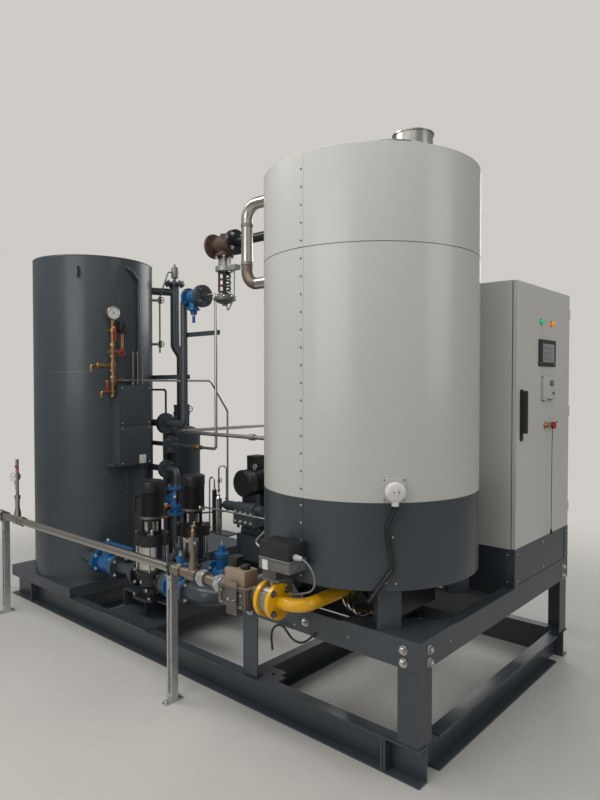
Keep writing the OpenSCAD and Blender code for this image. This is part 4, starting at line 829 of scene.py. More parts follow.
def dress_nodes() -> None:
    """Gives every node of the frame the finish of its material slot."""
    for row in frame["record"]["subparts"]:
        node = frame["nodes"][row["node"]]
        finish = NODE_FINISH.get(row["node"], NODE_PAINT[row["material_slot"]].value)
        paint = finish.material()
        if not node.material_slots:
            node.data.materials.append(None)
        for slot in node.material_slots:
            slot.link = "OBJECT"
            slot.material = paint
        LOG.info("%s: %s", row["node"], paint.name)


def hexagon(width: float, height: float) -> Array:
    """A bolt head or nut of a width across its corners, with a turned top."""
    half = width / 2
    return turned([(half, 0.0), (half, height * 0.82), (half * 0.84, height)], 6)


def washer(width: float, height: float) -> Array:
    """A flat round washer."""
    half = width / 2
    return turned([(half, 0.0), (half, height * 0.7), (half * 0.95, height)], 16)


def pan_head(width: float, height: float) -> Array:
    """A low domed screw head."""
    half = width / 2
    return turned([(half, 0.0), (half, height * 0.4), (half * 0.8, height * 0.8),
                   (half * 0.4, height)], 10)


def single(name: str, grid: Array, place: Array, turn: Array, paint: "Finish | Paint",
           body: str = "plant", caps: bool = True) -> None:
    """Makes a piece of one shape.

    Args:
        name: name of the piece.
        grid: rings by columns by three, about the origin.
        place: where the shape's origin goes.
        turn: 3 by 3 turn of the shape.
        paint: its finish.
        body: the body that it rides on.
        caps: whether a flat face closes the first and the last ring.
    """
    Stock(name).put(grid, place, turn, caps).make(paint, body)


def copies(name: str, grid: Array, places: Array, turn: Array, paint: "Finish | Paint",
           body: str = "plant") -> None:
    """Makes a piece of one shape at many places.

    Args:
        name: name of the piece.
        grid: rings by columns by three, about the origin.
        places: one row for each copy.
        turn: 3 by 3 turn that all copies share.
        paint: its finish.
        body: the body that it rides on.
    """
    Stock(name).spread(grid, places, turn).make(paint, body)


@dataclass
class BoltRow:
    """Bolts with washers at a list of places, all along one direction.

    The washer's and the thread end's widths and heights are shares of the head's.
    """

    name: str
    places: Array
    axis: Array
    width: float = 0.024
    height: float = 0.010
    paint: Paint = Paint.BOLT
    body: str = "plant"
    washer: tuple[float, float] = (1.35, 0.2)
    end: tuple[float, float] = (0.5, 0.35)

    def build(self) -> bpy.types.Object:
        """Spreads washer, head and thread end over the places."""
        turn = facing(self.axis)
        stock = Stock(self.name)
        rise = np.asarray(self.axis, float) / np.linalg.norm(self.axis)
        thin = self.height * self.washer[1]
        stock.spread(washer(self.width * self.washer[0], thin), self.places, turn)
        stock.spread(hexagon(self.width, self.height), self.places + rise * thin, turn)
        stock.spread(washer(self.width * self.end[0], self.height * self.end[1]),
                     self.places + rise * (thin + self.height), turn)
        return stock.make(self.paint, self.body, CRISP)


# Each lamp's name, place, target, size of its face in metres and power in watts.
LAMPS = (
    ("overhead_left", (-1.6, -2.2, 4.6), (-1.3, 0.2, 0.9), (3.0, 1.0), 62),
    ("overhead_right", (1.8, -2.2, 4.6), (1.2, 0.0, 0.9), (3.0, 1.0), 48),
    ("front_fill", (1.0, -5.4, 2.6), (-0.6, 0.0, 0.9), (3.4, 2.4), 60),
    ("right_fill", (5.6, 0.8, 2.8), (1.0, 0.3, 1.2), (2.2, 2.6), 34),
    ("back_fill", (-1.0, 4.8, 3.4), (0.0, 0.3, 1.2), (3.4, 2.0), 70),
)


@dataclass
class Studio:
    """Camera at the photograph's place, soft lamps and a pale floor."""

    place: tuple[float, float, float] = (3.1405, -2.9488, 1.654)
    pitch: float = 88.644
    yaw: float = 41.367
    lens: float = 28.328
    sensor: float = 36.0
    sight: float = 200.0
    wall: tuple[float, float, float] = (0.62, 0.60, 0.57)
    air: tuple[float, float, float] = (0.60, 0.61, 0.62)
    air_level: float = 0.42
    warm: tuple[float, float, float] = (1.0, 0.985, 0.96)
    fade: tuple[float, float] = (2.0, 5.2)
    floor_reach: float = 60.0

    def camera(self) -> None:
        """Sets the camera that the photograph was taken with."""
        data = bpy.data.cameras.new("photo_camera")
        data.lens = self.lens
        data.sensor_width = self.sensor
        data.clip_end = self.sight
        view = linked("photo_camera", data)
        view.location = self.place
        view.rotation_euler = (math.radians(self.pitch), 0.0, math.radians(self.yaw))
        bpy.context.scene.camera = view

    def lamp(self, name: str, place: tuple[float, float, float],
             target: tuple[float, float, float], size: tuple[float, float],
             power: float) -> None:
        """Adds one soft lamp.

        Args:
            name: name of the lamp.
            place: where it hangs.
            target: what it points at.
            size: width and height of its face.
            power: its power in watts.
        """
        data = bpy.data.lights.new(name, "AREA")
        data.shape = "RECTANGLE"
        data.size, data.size_y = size
        data.energy = power
        data.color = self.warm
        lamp = linked(name, data)
        lamp.location = place
        aim = Vector(target) - Vector(place)
        lamp.rotation_euler = aim.to_track_quat("-Z", "Y").to_euler()

    def surroundings(self) -> None:
        """Lights the plant evenly and sets the pale room round it."""
        for lamp in LAMPS:
            self.lamp(*lamp)
        world = bpy.data.worlds.new("pale_room")
        world.use_nodes = True
        nodes, links = world.node_tree.nodes, world.node_tree.links
        ray = nodes.new("ShaderNodeLightPath")
        mix = nodes.new("ShaderNodeMixShader")
        air = nodes["Background"]
        air.inputs[0].default_value = (*self.air, 1.0)
        air.inputs[1].default_value = self.air_level
        wall = nodes.new("ShaderNodeBackground")
        wall.inputs[0].default_value = (*self.wall, 1.0)
        links.new(ray.outputs["Is Camera Ray"], mix.inputs[0])
        links.new(air.outputs[0], mix.inputs[1])
        links.new(wall.outputs[0], mix.inputs[2])
        links.new(mix.outputs[0], nodes["World Output"].inputs[0])
        bpy.context.scene.world = world
        bpy.context.scene.view_settings.view_transform = "Standard"

    def faded(self, finish: Finish) -> bpy.types.Material:
        """Blends the far floor into the wall for camera rays, by the distance from the plant.

        Args:
            finish: the floor's own finish.

        Returns:
            The blended material.
        """
        graph = finish.build()
        place = graph.coordinates()
        x, y, _ = graph.axes(place)
        reach = (x * x + y * y) ** 0.5
        share = graph.share(reach, *self.fade, interpolation_type="SMOOTHSTEP")
        seen = graph.node("ShaderNodeLightPath", {}, {}) * share
        far = graph.node("ShaderNodeEmission", {}, {0: (*self.wall, 1.0)})
        near = Wire(graph, graph.shader.outputs[0])
        mix = graph.node("ShaderNodeMixShader", {}, {0: seen, 1: near, 2: far})
        graph.links.new(mix.socket, graph.nodes["Material Output"].inputs[0])
        return graph.material

    def floor(self) -> None:
        """Lays a wide flat floor, a grid of points at height 0."""
        side = np.linspace(-self.floor_reach, self.floor_reach, 25)
        x, y = np.meshgrid(side, side)
        grid = np.stack([x, y, np.full_like(x, -0.0005)], axis=-1)
        index = np.arange(x.size).reshape(x.shape)
        quads = np.stack([index[:-1, :-1], index[:-1, 1:], index[1:, 1:], index[1:, :-1]], axis=-1)
        mesh = bpy.data.meshes.new("pale_floor")
        mesh.from_pydata(grid.reshape(-1, 3).tolist(), [], quads.reshape(-1, 4).tolist())
        finish = Finish("floor_screed", "casing_paint", (0.66, 0.64, 0.60), (0.62, 0.60, 0.565),
                        0.6, 0.1, clouds=0.8, grain=60, relief=0.05)
        mesh.materials.append(self.faded(finish))
        linked("pale_floor", mesh)

    def build(self) -> None:
        """Sets up camera, lamps, background and floor."""
        self.camera()
        self.surroundings()
        self.floor()


@dataclass
class Cords:
    """The cables that hang free: on the door's switch, at the actuator and at the stand's rail."""

    def lay(self, name: str, places: list[tuple[float, float, float]], width: float, paint: Paint,
            body: str) -> None:
        """Args:
            name: name of the piece.
            places: given places in the skid's frame.
            width: diameter of the cable.
            paint: its finish.
            body: the body that it rides on.
        """
        route = flowing([skid(*place) for place in places], 28)
        piece = Stock(name).add(tube(route, width / 2, 10)).make(paint, body)

    def build(self) -> None:
        """Makes the cables and the plug on the door's."""
        plug = Stock("door_cable_plug")
        plug.put(turned([(0.003, 0.0), (0.006, 0.002), (0.006, 0.024), (0.003, 0.030)], 16),
                 skid(0.0245, 1.398, 0.806))
        ends = [plug.make(Paint.PLASTIC, "door")]
        self.lay("door_cable", [(0.024, 1.414, 1.418), (0.0255, 1.404, 1.398),
                                (0.025, 1.400, 1.340), (0.0245, 1.399, 1.200),
                                (0.0245, 1.3975, 1.050), (0.0245, 1.3985, 0.920),
                                (0.0245, 1.398, 0.834)], 0.0036, Paint.RUBBER, "door")
        self.lay("actuator_cable", [(-0.449, -0.235, 0.920), (-0.412, -0.234, 0.912),
                                    (-0.382, -0.230, 0.882), (-0.372, -0.222, 0.842),
                                    (-0.386, -0.210, 0.803), (-0.418, -0.198, 0.775),
                                    (-0.462, -0.190, 0.756), (-0.505, -0.186, 0.742),
                                    (-0.545, -0.188, 0.735)], 0.008, Paint.GREY_CABLE, "plant")
        self.lay("ignition_cable", [(-0.543, 0.013, 0.509), (-0.545, 0.004, 0.506),
                                    (-0.556, -0.008, 0.497), (-0.585, -0.012, 0.467),
                                    (-0.629, -0.012, 0.440), (-0.679, -0.012, 0.441),
                                    (-0.715, -0.012, 0.464), (-0.736, -0.012, 0.482),
                                    (-0.757, -0.012, 0.489), (-0.784, -0.012, 0.485),
                                    (-0.809, -0.012, 0.467), (-0.822, -0.012, 0.440),
                                    (-0.825, -0.012, 0.407), (-0.818, -0.012, 0.354)], 0.011,
                 Paint.RUBBER, "plant")


@dataclass
class StandTrim:
    """Lap plate, burner hoses, bolts and screws of the raised stand."""

    top: float = 0.596
    length: float = 1.064
    width: float = 1.75
    inset: float = 0.078
    drops: tuple[float, float] = (0.041, 0.094)
    screw: tuple[float, float] = (0.008, 0.004)
    bolt: tuple[float, float] = (0.030, 0.012)

    def build(self) -> None:
        """Makes the plate, the hoses, the bolt pairs at the corners and the small screws."""
        heights = [self.top - drop for drop in self.drops]
        front = lattice((-self.inset, -self.length + self.inset), [-0.0002], heights)
        side = lattice([0.0002], (self.inset, self.width - self.inset), heights)
        single("rail_lap_plate", block(0.186, 0.114, 0.004, 0.003, 0.0008),
               skid(-0.674, 0.0122, 0.537), facing(-Y_AXIS), Paint.SLATE)
        BoltRow("rail_lap_bolts", skid(-0.622, 0.0082, 0.534), -Y_AXIS, *self.bolt).build()
        hoses = Stock("burner_hoses")
        ends = Stock("burner_hose_ends")
        for k in range(3):
            x, dip = -0.470 + 0.030 * k, 0.016 * k
            hoses.add(tube(flowing([skid(x, 0.162, 0.705), skid(x + 0.012, 0.100, 0.706 - dip),
                                    skid(x + 0.040, 0.052, 0.675 - dip),
                                    skid(x + 0.062, 0.072, 0.630 - dip / 2),
                                    skid(x + 0.070, 0.162, 0.612)], 28), 0.0058, 12))
            for along, z in ((x, 0.705), (x + 0.070, 0.612)):
                ends.nut(0.017, 0.024, skid(along, 0.160, z), -Y_AXIS)
        hoses.make(Paint.STEEL)
        ends.make(Paint.BRASS)
        rail = np.array([skid(-0.3614, -0.0002, 0.5363), skid(-0.6898, 0.0082, 0.5052)])
        BoltRow("rail_screws_front", rail, -Y_AXIS, *self.screw).build()
        BoltRow("rail_screw_side", skid(0.0002, 0.2563, 0.5391), X_AXIS, *self.screw).build()
        BoltRow("stand_bolts_front", front, -Y_AXIS, *self.bolt).build()
        BoltRow("stand_bolts_side", side, X_AXIS, *self.bolt).build()


@dataclass
class DrumTrim:
    """Screw seam, ring seams, rolled top edge and level instrument of the drum's casing.

    A joint is how far a ring joint stands out and half its height. The lap is its two edges'
    angles from the seam and its thickness.
    """

    centre: tuple[float, float] = (-0.530, 0.400)
    radius: float = 0.534
    seam_angle: float = -89.4
    low: float = 0.780
    line: float = 1.154
    ring: float = 2.258
    top: float = 2.671
    pitch: float = 0.078
    joint: tuple[float, float] = (0.0006, 0.0013)
    lap: tuple[float, float, float] = (-2.4, 1.3, 0.0013)
    lap_gap: float = 0.003
    sensor_angle: float = -44.0
    sensor_height: float = 1.212
    slot_height: float = 1.209

    def spot(self, angle: float, height: float, out: float = 0.0) -> Array:
        """A place on the casing at an angle in degrees and a height."""
        turn = math.radians(angle)
        reach = self.radius + out
        x, y = self.centre
        return skid(x + reach * math.cos(turn), y + reach * math.sin(turn), height)

    def outward(self, angle: float) -> Array:
        """The direction out of the casing at an angle in degrees."""
        return np.array([math.cos(math.radians(angle)), math.sin(math.radians(angle)), 0.0])

    def screws(self) -> None:
        """Screws along the upright seam, dark on the casing and bright on the skirt."""
        turn = facing(self.outward(self.seam_angle))
        heights = np.arange(self.line + 0.042, self.top - 0.02, self.pitch)
        low = np.arange(self.low + 0.03, self.line - 0.01, self.pitch)
        for name, rows, paint in (("casing_screws", heights, Paint.DARK_BOLT),
                                  ("skirt_screws", low, Paint.BOLT)):
            places = np.array([self.spot(self.seam_angle, z) for z in rows])
            copies(name, pan_head(0.011, 0.004), places, turn, paint)

    def seams(self) -> None:
        """Ring joints, the lap of the upright seam and the rolled edge of the top."""
        joint = Stock("casing_ring_joints")
        inner, outer, half = self.radius - 0.0005, self.radius + self.joint[0], self.joint[1]
        for z in (self.ring, self.line):
            rim = [(inner, z - half), (outer, z - half), (outer, z + half), (inner, z + half)]
            joint.add(turned(rim, 192) + skid(*self.centre, 0.0))
        joint.make(Paint.SEAM)
        first, last, thick = self.lap
        arc = (self.seam_angle + first, self.seam_angle + last)
        for name, low, high, paint in (
                ("casing_lap_upper", self.ring, self.top - 0.001, Paint.CASING),
                ("casing_lap", self.line, self.ring, Paint.CASING),
                ("skirt_lap", self.low, self.line, Paint.SLATE)):
            span = (low + self.lap_gap, high - self.lap_gap)
            Stock(name).add(curved_sheet(self.centre, self.radius, arc, span, thick)).make(paint)
        single("casing_top_roll", torus(self.radius - 0.0036, 0.0038, 160),
               skid(*self.centre, self.top), np.eye(3), Paint.CASING, caps=False)

    def instrument(self) -> None:
        """Cover plate, crowned cap, outlet neck and hose clips of the level instrument."""
        angle = self.sensor_angle
        turn = facing(self.outward(angle))
        single("sensor_cover_plate", block(0.1012, 0.1012, 0.0042, 0.004, 0.0012),
               self.spot(angle, self.sensor_height), turn, Paint.CASING)
        corners = np.array([self.spot(angle, self.sensor_height, 0.0040) + turn[:, 0] * a
                            + turn[:, 1] * b for a in (-0.042, 0.042) for b in (-0.042, 0.042)])
        copies("sensor_plate_screws", pan_head(0.008, 0.003), corners, turn, Paint.DARK_BOLT)
        cap = Stock("sensor_cap")
        crown = turned([(0.0438, 0.0), (0.0442, 0.006), (0.0420, 0.011), (0.034, 0.0165),
                        (0.020, 0.0195), (0.002, 0.0205)], 48)
        cap.put(crown, self.spot(angle, 1.206, 0.0290), turn)
        cap.put(block(0.014, 0.034, 0.005, 0.006, 0.002),
                self.spot(angle, self.slot_height, 0.0480), turn)
        cap.put(turned([(0.0155, 0.0), (0.0155, 0.020), (0.0145, 0.022)], 24),
                self.spot(angle, 1.148, 0.0270))
        cap.make(Paint.WHITE)
        dots = np.array([self.spot(angle, self.slot_height, 0.0528) + turn[:, 0] * a
                         for a in (-0.011, 0.011)])
        copies("sensor_cap_screws", pan_head(0.006, 0.0025), dots, turn, Paint.DARK_BOLT)
        clips = np.array([self.spot(a, z, 0.0) for a, z in ((-44.6, 1.010), (-42.9, 0.812),
                                                            (-47.6, 0.818))])
        copies("hose_clip_screws", pan_head(0.011, 0.006), clips, turn, Paint.BOLT)

    def build(self) -> None:
        """Builds the trim."""
        self.screws()
        self.seams()
        self.instrument()


@dataclass
class FlangeBolts:
    """Bolts on both faces of flanged joints: place, axis, circle radius, count, span.

    The widths of washer, thread end and stud are shares of the head's width. The studs are made
    where the span is over open_span, because only there do they show.
    """

    name: str
    joints: list[tuple]
    width: float = 0.022
    paint: Paint = Paint.BOLT
    start: float = 45.0
    head_height: float = 0.011
    washer: tuple[float, float] = (1.3, 0.002)
    end: tuple[float, float] = (0.5, 0.005)
    stud: float = 0.44
    open_span: float = 0.05

    def build(self) -> None:
        """Spreads the heads and nuts and the studs between them."""
        stock = Stock(self.name)
        for place, axis, radius, count, span in self.joints:
            centre = skid(*place)
            circle = ring(centre, axis, radius, count, self.start)
            for out in (-axis, axis):
                turn = facing(out)
                spots = circle + out * span / 2
                thin = self.washer[1]
                stock.spread(washer(self.width * self.washer[0], thin), spots, turn)
                stock.spread(hexagon(self.width, self.head_height), spots + out * thin, turn)
                stock.spread(washer(self.width * self.end[0], self.end[1]),
                             spots + out * (thin + self.head_height), turn)
            if span > self.open_span:
                thick = self.width * self.stud / 2
                shank = turned([(thick, 0.0), (thick, span)], 10)
                stock.spread(shank, circle - axis * span / 2, facing(axis))
        stock.make(self.paint, "plant", CRISP)


@dataclass
class CabinetTrim:
    """Lamps, screen, controller, lock, switch and screws of the control cabinet."""

    lamp_height: float = 2.003
    screen_height: float = 1.833
    lock_place: tuple[float, float] = (1.355, 1.427)
    stop_place: tuple[float, float] = (1.433, 1.424)

    def lenses(self) -> None:
        """Domed lenses in their bezels."""
        turn = facing(X_AXIS)
        for name, y, paint in (("green_lens", 1.283, Paint.GREEN_LAMP),
                               ("orange_lens", 1.444, Paint.ORANGE_LAMP)):
            dome = turned([(0.0150, -0.0005), (0.0155, 0.009), (0.0125, 0.0165), (0.007, 0.0195),
                           (0.002, 0.0203)], 24)
            single(name, dome, skid(0.0, y, self.lamp_height), turn, paint, "door")
            single(name + "_rim", torus(0.0165, 0.002, 24), skid(0.001, y, self.lamp_height), turn,
                   Paint.DARK_BOLT, "door", caps=False)

    def panels(self) -> None:
        """Operator screen with its glass, and the burner controller with display and knob."""
        turn = facing(X_AXIS)
        single("screen_frame", block(0.244, 0.149, 0.010, 0.007, 0.002),
               skid(0, 1.3685, self.screen_height), turn, Paint.PLASTIC, "door")
        single("screen_glass", block(0.172, 0.104, 0.0012, 0.003, 0.0004),
               skid(0.0098, 1.374, self.screen_height), turn, Paint.DISPLAY, "door")
        rows = lattice([0.0108], [1.310 + 0.036 * i for i in range(4)], (1.805, 1.833, 1.861))
        copies("screen_tiles", block(0.028, 0.020, 0.0006, 0.001, 0.0002), rows, turn, Paint.TILE,
               "door")
        copies("screen_keys", pan_head(0.007, 0.001), lattice([0.0098], (1.468, 1.262), [1.775]),
               turn, Paint.DIAL, "door")
        case = Stock("controller_case")
        case.put(block(0.152, 0.139, 0.020, 0.010, 0.004), skid(0, 1.3715, 1.635), turn)
        case.put(block(0.112, 0.118, 0.029, 0.008, 0.004), skid(0, 1.376, 1.635), turn)
        case.put(turned([(0.015, 0.0), (0.015, 0.030), (0.012, 0.0335)], 24),
                 skid(0, 1.352, 1.607), turn).make(Paint.LIGHT_CASE, "door")
        dark = Stock("controller_display")
        for size, place in (((0.062, 0.030, 0.002, 0.003, 0.0006), (0.0282, 1.372, 1.665)),
                            ((0.030, 0.016, 0.002, 0.002, 0.0006), (0.0282, 1.404, 1.608)),
                            ((0.060, 0.006, 0.003, 0.002, 0.0006), (0.0195, 1.365, 1.572))):
            dark.slab(size, skid(*place), X_AXIS)
        dark.make(Paint.SCREEN, "door")
        digits = lattice([0.0301], [1.350 + 0.0125 * i for i in range(4)], [1.665])
        copies("controller_digits", block(0.007, 0.016, 0.0005, 0.001, 0.0002), digits, turn,
               Paint.TILE, "door")

    def switches(self) -> None:
        """Brass lock with its key, red mushroom button, and the bright catch of the handle."""
        turn = facing(X_AXIS)
        lock = Stock("door_lock")
        lock.lathe([(0.016, 0.0), (0.016, 0.012), (0.013, 0.017), (0.009, 0.019)], 24,
                   skid(0, *self.lock_place), X_AXIS)
        lock.put(torus(0.017, 0.0025, 24), skid(0.002, *self.lock_place), turn, caps=False)
        lock.make(Paint.BRASS, "door")
        key = Stock("door_key").lever(skid(0.016, *self.lock_place), skid(0.030, *self.lock_place),
                                      0.009, 0.002)
        key.lever(skid(0.028, 1.355, 1.437), skid(0.028, 1.358, 1.400), 0.012, 0.003)
        key.make(Paint.BOLT, "door")
        collar = Stock("stop_collar")
        collar.lathe([(0.0175, 0.0), (0.0175, 0.008), (0.015, 0.012)], 24,
                     skid(0, *self.stop_place), X_AXIS)
        collar.lathe([(0.004, 0.0), (0.004, 0.045), (0.002, 0.047)], 10, skid(0.012, 1.437, 1.428),
                     [0.3, 0.9, 0.35])
        collar.make(Paint.DARK_BOLT, "door")
        head = turned([(0.013, 0.0), (0.0125, 0.013), (0.0195, 0.015), (0.0215, 0.019),
                       (0.0205, 0.026), (0.0150, 0.031), (0.006, 0.033), (0.001, 0.0333)], 28)
        single("stop_button", head, skid(0, *self.stop_place), turn, Paint.RED, "door")
        single("handle_catch", block(0.011, 0.030, 0.004, 0.004, 0.001),
               skid(0.0295, 1.017, 1.612), turn, Paint.BOLT, "door")

    def screws(self) -> None:
        """Screws of the plinth's front and side panels."""
        heights = (0.767, 0.626)
        copies("plinth_screws", pan_head(0.013, 0.004),
               lattice([-0.0028], (0.991, 1.355, 1.712), heights), facing(X_AXIS), Paint.BOLT)
        copies("plinth_side_screws", pan_head(0.013, 0.004),
               lattice((-0.040, -0.380), [0.9528], heights), facing(-Y_AXIS), Paint.BOLT)

    def build(self) -> None:
        """Builds the cabinet's trim."""
        self.lenses()
        self.panels()
        self.switches()
        self.screws()


@dataclass
class TankTrim:
    """Seams, dial, levers, handwheels, conduits and box lids of the feedwater tank.

    The rivets are their lowest place, the height that they stop below, and their pitch.
    """

    centre: tuple[float, float] = (-3.246, 0.470)
    radius: float = 0.450
    pipe_x: float = -2.756
    conduit_x: float = -2.745
    lid_x: float = -2.7092
    dome_valves: tuple[float, float] = (1.035, 1.165)
    welds: tuple[float, float, float] = (0.231, 1.7475, 2.592)
    strip: tuple[float, float] = (0.236, 1.052)
    strip_arc: tuple[float, float] = (-3.0, 1.6)
    rivets: tuple[float, float, float] = (0.29, 1.03, 0.062)
    gauge_place: tuple[float, float] = (0.326, 2.178)

    def seams(self) -> None:
        """Weld rings, the lap of the upright seam and the riveted strip."""
        beads = Stock("tank_weld_rings")
        for z in self.welds:
            bead = turned([(self.radius - 0.001, z - 0.004), (self.radius + 0.0016, z),
                           (self.radius - 0.001, z + 0.004)], 128)
            beads.add(bead + skid(*self.centre, 0.0))
        beads.make(Paint.SLATE)
        strip = Stock("tank_seam_strip")
        strip.add(curved_sheet(self.centre, self.radius, self.strip_arc, self.strip, 0.003))
        strip.make(Paint.SLATE)
        places = lattice([self.centre[0] + 0.4535], [self.centre[1] - 0.004],
                         np.arange(*self.rivets))
        copies("tank_seam_rivets", pan_head(0.013, 0.004), places, facing(X_AXIS), Paint.DARK_BOLT)

    def dial(self) -> None:
        """Face, ticks and hand of the dial gauge, and the rim round them."""
        turn = facing(X_AXIS)
        centre = skid(self.pipe_x + 0.0182, *self.gauge_place)
        single("gauge_face", turned([(0.0425, 0.0), (0.0425, 0.0012)], 40), centre, turn,
               Paint.DIAL)
        single("gauge_rim", torus(0.0462, 0.0045, 40), centre, turn, Paint.BOLT, caps=False)
        marks = Stock("gauge_marks")
        root = centre + X_AXIS * 0.0016
        for angle in np.radians(np.arange(-45.0, 226.0, 18.0)):
            out = math.cos(angle) * turn[:, 0] + math.sin(angle) * turn[:, 1]
            marks.lever(root + out * 0.033, root + out * 0.040, 0.0016, 0.0008)
        hand = -0.5 * turn[:, 0] + 0.86 * turn[:, 1]
        pivot = centre + X_AXIS * 0.0022
        marks.lever(pivot - hand * 0.010, pivot + hand * 0.034, 0.0022, 0.0008)
        marks.put(pan_head(0.009, 0.003), centre + X_AXIS * 0.0012, turn)
        marks.make(Paint.PLASTIC)

    def handles(self) -> None:
        """Red levers and handwheel, nuts, black switch and wheels, and two small valves."""
        x = self.pipe_x
        red = Stock("manifold_red_handles")
        red.lever(skid(x + 0.020, 0.331, 2.079), skid(x + 0.020, 0.339, 1.975), 0.018, 0.005,
                  EDGE_ON)
        red.lever(skid(x + 0.022, 0.270, 1.682), skid(x + 0.022, 0.262, 1.600), 0.016, 0.005,
                  EDGE_ON)
        red.wheel(skid(x + 0.012, 0.387, 1.895), X_AXIS, 0.026)
        red.make(Paint.RED)
        nuts = Stock("manifold_nuts")
        for y, z, size in ((0.331, 2.070, 0.026), (0.270, 1.680, 0.024), (0.200, 1.795, 0.030)):
            nuts.nut(size, 0.014, skid(x + 0.008, y, z), X_AXIS)
        for z in (1.60, 1.705, 1.755, 1.86, 1.94):
            nuts.nut(0.040, 0.016, skid(x, 0.326, z), Z_AXIS)
        for y in (0.345, 0.293):
            nuts.nut(0.036, 0.014, skid(x, y, 1.895), Y_AXIS)
        nuts.make(Paint.BRASS)
        switch = Stock("pressure_switch")
        switch.slab((0.056, 0.050, 0.072, 0.008, 0.004), skid(x, 0.407, 2.044), Z_AXIS)
        switch.lathe([(0.010, 0.0), (0.010, 0.018), (0.007, 0.022)], 12, skid(x, 0.434, 2.070),
                     Y_AXIS)
        for z in (1.990, 2.349):
            switch.wheel(skid(-2.977, 0.914, z), X_AXIS, 0.024)
        for y in self.dome_valves:
            switch.wheel(skid(-2.915, y, 1.452), np.array([0.75, -0.66, 0.0]), 0.022)
        switch.make(Paint.PLASTIC)
        stubs = Stock("dome_valves")
        for y in self.dome_valves:
            stubs.put(turned([(0.013, 1.285), (0.013, 1.40), (0.018, 1.405), (0.018, 1.43),
                              (0.012, 1.435), (0.012, 1.47), (0.016, 1.475), (0.016, 1.49)], 14),
                      skid(-2.946, y, 0.0))
        stubs.make(Paint.SLATE)

    def wiring(self) -> None:
        """Thin conduits on the box with their nuts, its lids, its screws and the blank plate."""
        pipes = Stock("box_conduits")
        for y in (0.492, 0.533, 0.577):
            pipes.pipe([skid(self.conduit_x, y, 1.905), skid(self.conduit_x, y, 1.640)], 0.0075)
            for z in (1.66, 1.885):
                pipes.nut(0.024, 0.020, skid(self.conduit_x, y, z), Z_AXIS)
        pipes.make(Paint.DARK_BOLT)
        for name, z in (("box_lid_lower", 1.063), ("box_lid_upper", 1.361)):
            single(name, block(0.256, 0.286, 0.004, 0.006, 0.0015),
                   skid(self.lid_x, 0.489, z + 0.143), facing(X_AXIS), Paint.SLATE)
        spots = lattice([-2.7052], (0.372, 0.606), (1.078, 1.334, 1.376, 1.632))
        copies("box_screws", pan_head(0.012, 0.004), spots, facing(X_AXIS), Paint.BOLT)
        single("box_plate", block(0.058, 0.064, 0.0012, 0.003, 0.0003), skid(-2.7053, 0.545, 1.10),
               facing(X_AXIS), Paint.DIAL)

    def build(self) -> None:
        """Builds the tank's trim."""
        self.seams()
        self.dial()
        self.handles()
        self.wiring()


